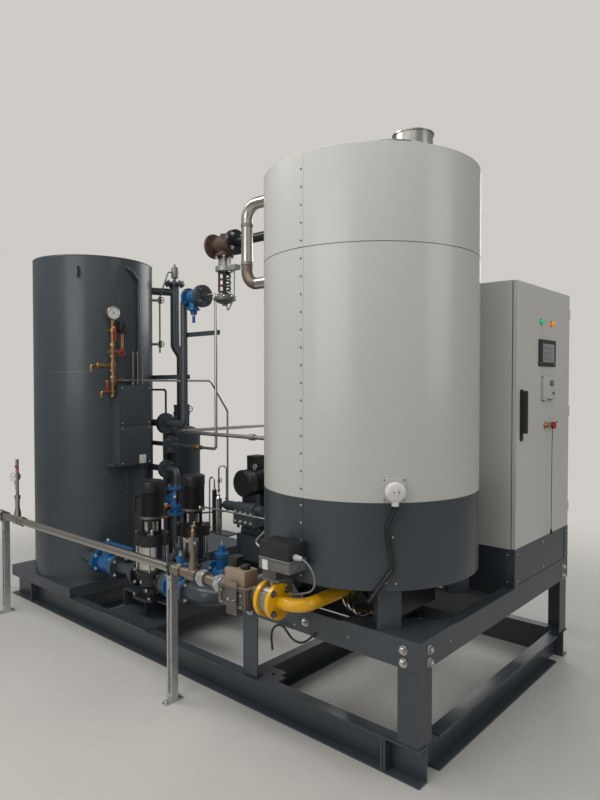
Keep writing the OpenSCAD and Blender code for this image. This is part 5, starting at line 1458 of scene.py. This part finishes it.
@dataclass
class PumpTrim:
    """Fins, plugs, nuts and bolts of the two booster pumps."""

    x: float = -2.095
    rows: tuple[float, float] = PUMP_ROWS
    ribs: int = 40
    rib_radii: tuple[float, float] = (0.0712, 0.0770)
    rib_heights: tuple[float, float] = (0.818, 0.968)

    def fins(self) -> None:
        """Upright ribs round each motor: a star outline carried up its body."""
        angle = np.arange(self.ribs * 4) * TAU / (self.ribs * 4)
        inner, outer = self.rib_radii
        reach = np.tile([inner, outer, outer, inner], self.ribs)
        star = np.stack([reach * np.cos(angle), reach * np.sin(angle)], axis=1)
        grid = np.stack([np.column_stack([star, np.full(len(star), z)])
                         for z in self.rib_heights])
        stock = Stock("pump_motor_ribs")
        for y in self.rows:
            stock.add(grid + skid(self.x, y, 0.0))
        stock.make(Paint.BLACK, sharp=20.0)

    def caps(self) -> None:
        """Rounded fan covers with their slots, terminal lids and cable glands."""
        cover = Stock("pump_fan_covers")
        slots = Stock("pump_fan_slots")
        for y in self.rows:
            at = skid(self.x, y, 0.0)
            cover.add(turned([(0.0795, 0.968), (0.0805, 0.972), (0.0805, 1.028), (0.078, 1.036),
                              (0.068, 1.0405), (0.03, 1.042)], 48) + at)
            for radius in (0.022, 0.034, 0.046, 0.058):
                crown = at + [0, 0, 1.0415 - 0.008 * radius / 0.058]
                slots.put(torus(radius, 0.0016, 36, 6), crown, caps=False)
            cover.slab((0.086, 0.094, 0.014, 0.008, 0.004), at + [-0.123, 0.0, 0.877], -X_AXIS)
            cover.lathe([(0.012, 0.0), (0.012, 0.016), (0.009, 0.024)], 14,
                        at + [-0.105, 0.0, 0.838], -Z_AXIS)
        cover.make(Paint.BLACK)
        slots.make(Paint.PLASTIC)

    def nuts(self) -> None:
        """Nuts of the tie rods, silver plugs, foot bolts and the screws of the stools."""
        bright = Stock("pump_bright_nuts")
        dark = Stock("pump_dark_nuts")
        for y in self.rows:
            top = skid(self.x, y, 0.698)
            dark.spread(hexagon(0.026, 0.014), ring(top, Z_AXIS, 0.096, 4), facing(Z_AXIS))
            bright.nut(0.026, 0.016, top + [0.072, -0.052, 0.0], Z_AXIS)
            bright.lathe([(0.008, 0.0), (0.008, 0.018), (0.005, 0.022)], 12,
                         top + [0.072, -0.052, 0.014], Z_AXIS)
            bright.spread(hexagon(0.022, 0.010), ring(skid(self.x, y, 0.299), Z_AXIS, 0.112, 4),
                          facing(Z_AXIS))
            bright.nut(0.024, 0.012, skid(self.x, y - 0.077, 0.395), -Y_AXIS)
            bright.nut(0.024, 0.012, skid(self.x + 0.040, y - 0.0655, 0.345), -Y_AXIS)
            bright.spread(pan_head(0.012, 0.005),
                          ring(skid(self.x, y, 0.8), Z_AXIS, 0.0775, 4, 20.0), facing(Z_AXIS))
            dark.add(turned([(0.0795, 0.797), (0.0815, 0.799), (0.0815, 0.809), (0.0795, 0.811)],
                            48) + skid(self.x, y, 0.0))
            dark.add(turned([(0.083, 0.462), (0.0875, 0.464), (0.0875, 0.476), (0.083, 0.478)], 48)
                     + skid(self.x, y, 0.0))
        bright.make(Paint.BOLT, "plant", CRISP)
        dark.make(Paint.DARK_BOLT, "plant", CRISP)

    def build(self) -> None:
        """Builds the pumps' trim."""
        self.fins()
        self.caps()
        self.nuts()


@dataclass
class FeedPumpTrim:
    """Motor fins, head bolts, thin tubes and needle valve of the plunger pump.

    The motor's fins are the first place, the place that they stop before, and their pitch.
    """

    motor_x: float = -2.055
    motor_z: float = 0.931
    motor_fins: tuple[float, float, float] = (1.032, 1.234, 0.0135)
    cover: tuple[float, float] = (1.14, 0.56)
    tube_radius: float = 0.006
    tube_bend: float = 0.036

    def motor(self) -> None:
        """Ring fins along the motor, its end cover and the lid of its box."""
        stock = Stock("feed_motor_fins")
        for y in np.arange(*self.motor_fins):
            stock.lathe([(0.090, 0.0), (0.0975, 0.0008), (0.0975, 0.0034), (0.090, 0.0042)], 48,
                        skid(self.motor_x, y, self.motor_z), Y_AXIS)
        stock.lathe([(0.096, 0.0), (0.0995, 0.004), (0.0995, 0.062), (0.094, 0.066)], 48,
                    skid(self.motor_x, 0.954, self.motor_z), Y_AXIS)
        for radius in (0.030, 0.045, 0.060, 0.075):
            stock.put(torus(radius, 0.0022, 40, 6), skid(self.motor_x, 0.9495, self.motor_z),
                      facing(Y_AXIS), caps=False)
        stock.slab((0.098, 0.118, 0.012, 0.006, 0.003), skid(-2.104, 1.151, 1.107), Z_AXIS,
                   QUARTER)
        stock.make(Paint.BLACK, "plant", CRISP)
        eye = Stock("feed_motor_eye")
        eye.put(torus(0.016, 0.005, 20), skid(-2.03, 1.06, 1.047), facing(Y_AXIS), caps=False)
        eye.put(turned([(0.009, 0.0), (0.009, 0.012), (0.006, 0.014)], 12),
                skid(-2.03, 1.06, 1.022))
        eye.make(Paint.BOLT)

    def head(self) -> None:
        """Bolts of the head, the crankcase and its side cover, and the cover itself."""
        spots = lattice([-2.075 + 0.054 * i for i in range(4)], [0.8998], (0.662, 0.728))
        BoltRow("feed_head_bolts", spots, -Y_AXIS, 0.022, 0.010).build()
        spots = lattice([-2.09 + 0.07 * i for i in range(4)], [0.9498], [0.615])
        BoltRow("feed_case_bolts", spots, -Y_AXIS, 0.020, 0.009, Paint.DARK_BOLT).build()
        side = ring(skid(-1.8498, *self.cover), X_AXIS, 0.132, 8, 22.5)
        BoltRow("feed_cover_bolts", side, X_AXIS, 0.020, 0.009, Paint.DARK_BOLT).build()
        lid = turned([(0.150, -0.002), (0.150, 0.006), (0.142, 0.010), (0.112, 0.010),
                      (0.106, 0.022), (0.06, 0.028), (0.02, 0.029)], 48)
        single("feed_side_cover", lid, skid(-1.850, *self.cover), facing(X_AXIS), Paint.SLATE)

    def tubes(self) -> None:
        """Thin bright tubes of the pump with their unions, and a needle valve."""
        stock = Stock("feed_thin_tubes")
        loops = (((-2.356, 0.900, 0.556), (-2.356, 0.900, 0.957), (-2.300, 0.900, 0.957),
                  (-2.300, 0.900, 0.862)),
                 ((-2.243, 0.893, 0.845), (-2.243, 0.893, 1.052), (-2.199, 0.93, 1.052),
                  (-2.199, 0.93, 0.790)),
                 ((-2.02, 0.53, 0.83), (-1.40, 0.53, 0.83), (-1.045, 0.53, 0.80)),
                 ((-1.050, 0.48, 0.860), (-1.250, 0.47, 0.860), (-1.414, 0.45, 0.705),
                  (-1.350, 0.45, 0.665), (-1.120, 0.45, 0.665), (-1.020, 0.43, 0.700),
                  (-1.020, 0.43, 0.800)))
        for route in loops:
            stock.pipe([skid(*place) for place in route], self.tube_radius, self.tube_bend)
        for x, y, z in ((-2.356, 0.900, 0.564), (-2.300, 0.900, 0.862), (-2.243, 0.893, 0.862),
                        (-2.243, 0.893, 0.932), (-2.199, 0.93, 0.80), (-2.02, 0.53, 0.815)):
            stock.nut(0.022, 0.018, skid(x, y, z), Z_AXIS)
        stock.make(Paint.STEEL)
        valve = Stock("feed_needle_valve").wheel(skid(-2.236, 0.893, 0.945), X_AXIS, 0.017)
        valve.make(Paint.PLASTIC)

    def build(self) -> None:
        """Builds the feed pump's trim."""
        self.motor()
        self.head()
        self.tubes()


@dataclass
class GasTrim:
    """Screws, plugs, gauge, coil and actuator details of the gas train."""

    y: float = -0.215
    z: float = 0.700
    body_x: float = -0.5615
    neck_x: float = -0.61
    gauge_place: tuple[float, float] = (-3.149, 1.005)
    plug_x: float = -1.176
    block_reach: float = 0.060
    clamps: tuple[float, float] = (-1.348, -3.312)
    unions: tuple[float, float] = (-1.112, -0.985)

    def block_parts(self) -> None:
        """Cover plate with its screws and switch knob, black connector and top knob."""
        front = self.y - self.block_reach
        plate = Stock("gas_block_cover")
        plate.slab((0.150, 0.070, 0.006, 0.006, 0.002), skid(-0.822, front, 0.676), -Y_AXIS,
                   QUARTER)
        plate.slab((0.098, 0.110, 0.006, 0.010, 0.002), skid(-0.7305, self.y, 0.682), X_AXIS,
                   QUARTER)
        plate.make(NODE_FINISH["gas_valves"])
        spots = lattice((-0.888, -0.758), [front - 0.006], (0.650, 0.703))
        heads = Stock("gas_block_screws").spread(pan_head(0.011, 0.005), spots, facing(-Y_AXIS))
        heads.spread(pan_head(0.016, 0.010), skid(-0.838, front - 0.006, 0.672), facing(-Y_AXIS))
        heads.make(Paint.BOLT)
        lever = Stock("gas_block_lever")
        lever.lever(skid(-0.812, front - 0.012, 0.668), skid(-0.786, front - 0.012, 0.680), 0.008,
                    0.004)
        lever.make(Paint.BOLT)
        dark = Stock("gas_coil_parts")
        dark.slab((0.060, 0.058, 0.048, 0.010, 0.006), skid(-0.872, self.y + 0.012, 0.801), Z_AXIS,
                  QUARTER)
        dark.lathe([(0.021, 0.0), (0.023, 0.006), (0.023, 0.018), (0.019, 0.022)], 24,
                   skid(-0.795, self.y, 0.802), Z_AXIS)
        dark.make(Paint.PLASTIC)
        single("gas_coil_cover", block(0.134, 0.088, 0.070, 0.004, 0.003),
               skid(-0.8245, self.y, 0.7335), facing(Z_AXIS, QUARTER), Paint.BEIGE)

    def actuator(self) -> None:
        """Black hood with rolled edges, grey body with ears, blank plate and gland."""
        single("actuator_hood", block(0.180, 0.115, 0.070, 0.010, 0.007),
               skid(self.body_x, self.y, 0.9045), facing(Z_AXIS, QUARTER), Paint.PLASTIC)
        body = Stock("actuator_body")
        for size, x, z in (((0.186, 0.121, 0.010, 0.008, 0.002), self.body_x, 0.895),
                           ((0.180, 0.115, 0.044, 0.008, 0.004), self.body_x, 0.8495),
                           ((0.100, 0.060, 0.012, 0.006, 0.003), self.neck_x, 0.838),
                           ((0.096, 0.058, 0.012, 0.006, 0.003), self.neck_x, 0.790)):
            body.slab(size, skid(x, self.y, z), Z_AXIS, QUARTER)
        body.make(Paint.CASTING)
        single("actuator_plate", block(0.032, 0.044, 0.001, 0.002, 0.0003),
               skid(-0.612, self.y - 0.0578, 0.872), facing(-Y_AXIS), Paint.DIAL)
        gland = Stock("actuator_gland")
        gland.nut(0.028, 0.016, skid(-0.4715, self.y - 0.02, 0.920), X_AXIS)
        gland.lathe([(0.011, 0.0), (0.011, 0.018), (0.007, 0.026)], 16,
                    skid(-0.4565, self.y - 0.02, 0.920), X_AXIS)
        gland.make(Paint.LIGHT_CASE)

    def fittings(self) -> None:
        """Gauge, lever, plugs, needle valve, clamps and union nuts along the pipe."""
        x, height = self.gauge_place
        turn = facing([0.62, -0.78, 0.0])
        case = Stock("gas_gauge_case")
        centre = skid(x, self.y, height)
        case.put(turned([(0.030, 0.0), (0.034, 0.003), (0.034, 0.022), (0.031, 0.026)], 32),
                 centre - turn[:, 2] * 0.013, turn)
        case.pipe([skid(-3.120, self.y, 0.900), skid(x, self.y, 0.935), skid(x, self.y, 0.980)],
                  0.007)
        case.make(Paint.BOLT)
        single("gas_gauge_face", turned([(0.029, 0.0), (0.029, 0.001)], 32),
               centre + turn[:, 2] * 0.0132, turn, Paint.DIAL)
        hand = turn[:, 0] * 0.5 + turn[:, 1] * 0.85
        pivot = centre + turn[:, 2] * 0.0152
        needle = Stock("gas_gauge_hand")
        needle.lever(pivot - hand * 0.006, pivot + hand * 0.024, 0.002, 0.0008)
        needle.make(Paint.PLASTIC)
        red = Stock("gas_red_lever")
        red.lever(skid(-3.120, self.y - 0.016, 1.083), skid(-3.060, self.y - 0.016, 1.060), 0.014,
                  0.004, EDGE_ON)
        red.make(Paint.RED)
        brass = Stock("gas_brass_plugs")
        brass.nut(0.022, 0.020, skid(self.plug_x, self.y, 0.912), Z_AXIS)
        brass.lathe([(0.007, 0.0), (0.007, 0.014), (0.004, 0.018)], 12,
                    skid(self.plug_x, self.y, 0.932), Z_AXIS)
        brass.make(Paint.BRASS)
        valve = Stock("gas_needle_valve")
        valve.pipe([skid(self.plug_x, self.y, 0.862), skid(-1.233, self.y, 0.862)], 0.007)
        valve.nut(0.024, 0.022, skid(-1.222, self.y, 0.862), -X_AXIS)
        valve.nut(0.020, 0.016, skid(-1.166, self.y, 0.862), X_AXIS)
        valve.make(Paint.BOLT)
        clamps = Stock("gas_clamp_screws")
        for px in self.clamps:
            for side in (-1.0, 1.0):
                clamps.nut(0.016, 0.010, skid(px, self.y + side * 0.034, self.z), Y_AXIS * side)
            clamps.slab((0.030, 0.076, 0.004, 0.002, 0.001), skid(px, self.y, 0.668), Z_AXIS,
                        QUARTER)
            clamps.spread(pan_head(0.016, 0.005),
                          lattice([px], [self.y - 0.0208], (0.640, 0.602)), facing(-Y_AXIS))
            clamps.spread(hexagon(0.020, 0.012),
                          lattice([px], (self.y - 0.042, self.y + 0.042), [0.006]), facing(Z_AXIS))
        clamps.make(Paint.BOLT, "plant", CRISP)
        unions = Stock("gas_union_nuts")
        for px in self.unions:
            unions.nut(0.084, 0.030, skid(px, self.y, self.z), X_AXIS)
            unions.lathe([(0.034, 0.030), (0.038, 0.032), (0.038, 0.040), (0.034, 0.042)], 32,
                         skid(px, self.y, self.z), X_AXIS)
        unions.make(Paint.ZINC, "plant", CRISP)
        rubber = Stock("gas_clamp_rubber")
        for px in self.clamps:
            rubber.lathe([(0.029, -0.012), (0.0345, -0.012), (0.0345, 0.012), (0.029, 0.012)], 32,
                         skid(px, self.y, self.z), X_AXIS)
        rubber.make(Paint.RUBBER)

    def build(self) -> None:
        """Builds the gas train's trim."""
        self.block_parts()
        self.actuator()
        self.fittings()


@dataclass
class LineTrim:
    """Flange bolts, nuts, caps, bands and vent of the water and steam lines."""

    pump_line_z: float = 0.402
    riser_y: float = 0.80
    steam_y: float = 0.65
    spindle_x: float = -1.900

    def joints(self) -> None:
        """Bolts of every flanged joint, grouped by line."""
        water = [((-2.717, PUMP_ROWS[0], self.pump_line_z), X_AXIS, 0.064, 4, 0.036),
                 ((-2.480, PUMP_ROWS[0], self.pump_line_z), X_AXIS, 0.064, 4, 0.036)]
        for y in PUMP_ROWS:
            water += [((-2.246, y, self.pump_line_z), X_AXIS, 0.058, 4, 0.034),
                      ((-1.9165, y, self.pump_line_z), X_AXIS, 0.064, 4, 0.089),
                      ((-1.720, y, self.pump_line_z), X_AXIS, 0.064, 4, 0.036)]
        FlangeBolts("water_line_bolts", water).build()
        tank = [((-2.688, 0.75, 1.005), X_AXIS, 0.054, 4, 0.036),
                ((-2.560, 0.75, 0.680), Z_AXIS, 0.056, 4, 0.018),
                ((-2.560, 0.75, 0.875), Z_AXIS, 0.056, 4, 0.018),
                ((-2.760, self.riser_y, 1.353), X_AXIS, 0.065, 4, 0.036),
                ((-2.694, self.riser_y, 1.190), X_AXIS, 0.054, 4, 0.036),
                ((-2.467, self.riser_y, 2.310), X_AXIS, 0.058, 4, 0.018),
                ((-2.317, self.riser_y, 2.310), X_AXIS, 0.060, 4, 0.054)]
        FlangeBolts("tank_line_bolts", tank, 0.020, Paint.DARK_BOLT).build()
        riser = [((-2.985, 1.064, 2.501), Z_AXIS, 0.065, 8, 0.018)]
        FlangeBolts("riser_flange_bolts", riser, paint=Paint.DARK_BOLT).build()
        steam = [((-1.795, self.steam_y, 2.603), X_AXIS, 0.0625, 4, 0.036)]
        FlangeBolts("steam_flange_bolts", steam).build()
        gas = [((-0.620, -0.215, 0.700), X_AXIS, 0.062, 4, 0.090)]
        FlangeBolts("gas_flange_bolts", gas, 0.024, Paint.DARK_BOLT).build()

    def valve_parts(self) -> None:
        """Spindles and bonnet screws of the blue valves, and caps on the thin test points."""
        spindle = Stock("valve_spindles")
        nuts = Stock("valve_bonnet_screws")
        for y in PUMP_ROWS:
            top = skid(-1.800, y, 0.602)
            spindle.put(turned([(0.012, 0.0), (0.012, 0.010), (0.008, 0.012), (0.008, 0.030)], 14),
                        top)
            nuts.spread(hexagon(0.016, 0.008), ring(top - [0, 0, 0.076], Z_AXIS, 0.042, 4),
                        facing(Z_AXIS))
        for place, axis in (((-2.6102, PUMP_ROWS[0], 0.5585), Z_AXIS),
                            ((-2.4130, self.riser_y, 2.180), -Z_AXIS)):
            spindle.lathe([(0.012, 0.0), (0.012, 0.012), (0.008, 0.016)], 14, skid(*place), axis)
            bolts = ring(skid(*place) - axis * 0.046, axis, 0.042, 4)
            nuts.spread(hexagon(0.016, 0.008), bolts, facing(axis))
        spindle.make(Paint.BOLT)
        nuts.make(Paint.BLUE, "plant", CRISP)
        for name, paint, places, profile in (
                ("orange_caps", Paint.ORANGE, ((-2.596, 0.688, 0.735), (-2.613, 0.672, 0.650)),
                 [(0.010, 0.0), (0.011, 0.014), (0.007, 0.020)]),
                ("white_caps", Paint.DIAL, ((-2.504, 0.700, 0.815), (-2.640, 0.690, 0.742)),
                 [(0.009, 0.0), (0.009, 0.018), (0.006, 0.022)])):
            caps = Stock(name)
            for x, y, z in places:
                caps.pipe([skid(x, 0.75, z), skid(x, y, z)], 0.006)
                caps.lathe(profile, 14, skid(x, y, z), -Y_AXIS)
            caps.make(paint)

    def steam(self) -> None:
        """Bands of the return loop, parts of the regulating valve and the riser's air vent."""
        bands = Stock("return_loop_bands")
        for place, axis in (((-0.95, 0.12, 2.607), X_AXIS), ((-1.13, 0.12, 2.50), Z_AXIS),
                            ((-1.13, 0.12, 2.30), Z_AXIS), ((-0.95, 0.12, 2.187), X_AXIS)):
            bands.lathe([(0.0295, -0.010), (0.0325, -0.008), (0.0325, 0.008), (0.0295, 0.010)], 32,
                        skid(*place), axis)
        bands.make(Paint.DARK_STEEL)
        nuts = Stock("regulator_nuts")
        for side in (-1.0, 1.0):
            for z in (2.459, 2.412, 2.266):
                nuts.nut(0.020, 0.008, skid(self.spindle_x + side * 0.052, self.steam_y, z),
                         Z_AXIS)
        lower = ring(skid(self.spindle_x, self.steam_y, 2.247), Z_AXIS, 0.070, 8)
        upper = ring(skid(self.spindle_x, self.steam_y, 2.520), Z_AXIS, 0.053, 4)
        nuts.spread(hexagon(0.016, 0.009), lower, facing(Z_AXIS))
        nuts.spread(hexagon(0.018, 0.010), upper, facing(-Z_AXIS))
        nuts.make(Paint.BOLT, "plant", CRISP)
        sense = Stock("regulator_sensing_tube")
        sense.pipe([skid(-1.885, self.steam_y, 2.207), skid(-1.868, self.steam_y, 2.150),
                    skid(-1.806, self.steam_y, 2.235), skid(-1.802, self.steam_y, 2.432)], 0.004,
                   0.02)
        sense.nut(0.016, 0.012, skid(-1.882, self.steam_y, 2.200), [0.3, 0.0, -1.0])
        sense.make(Paint.CASTING)
        strip = Stock("regulator_red_mark")
        strip.put(block(0.010, 0.004, 0.128, 0.001, 0.0004), skid(-1.9535, 0.6435, 2.288))
        strip.make(Paint.RED)
        vent = Stock("riser_air_vent")
        vent.put(turned([(0.012, 2.510), (0.012, 2.545), (0.030, 2.552), (0.030, 2.625),
                         (0.024, 2.640), (0.008, 2.646), (0.008, 2.665)], 24),
                 skid(-2.985, 1.064, 0.0))
        vent.pipe([skid(-2.985, 1.035, 2.590), skid(-2.960, 0.98, 2.590), skid(-2.93, 0.90, 2.44),
                   skid(-2.99, 0.914, 2.374)], 0.006, 0.03)
        vent.make(Paint.CASTING)

    def build(self) -> None:
        """Builds the lines' trim."""
        self.joints()
        self.valve_parts()
        self.steam()


def main() -> None:
    """Builds the scene: studio, finishes and every sub-assembly's pieces, in order."""
    logging.basicConfig(level=logging.INFO, format="%(message)s")
    Studio().build()
    dress_nodes()
    for trim in (Cords, StandTrim, DrumTrim, CabinetTrim, TankTrim, PumpTrim, FeedPumpTrim,
                 GasTrim, LineTrim):
        trim().build()
    LOG.info("all pieces are in place")


if __name__ == "__main__":
    main()
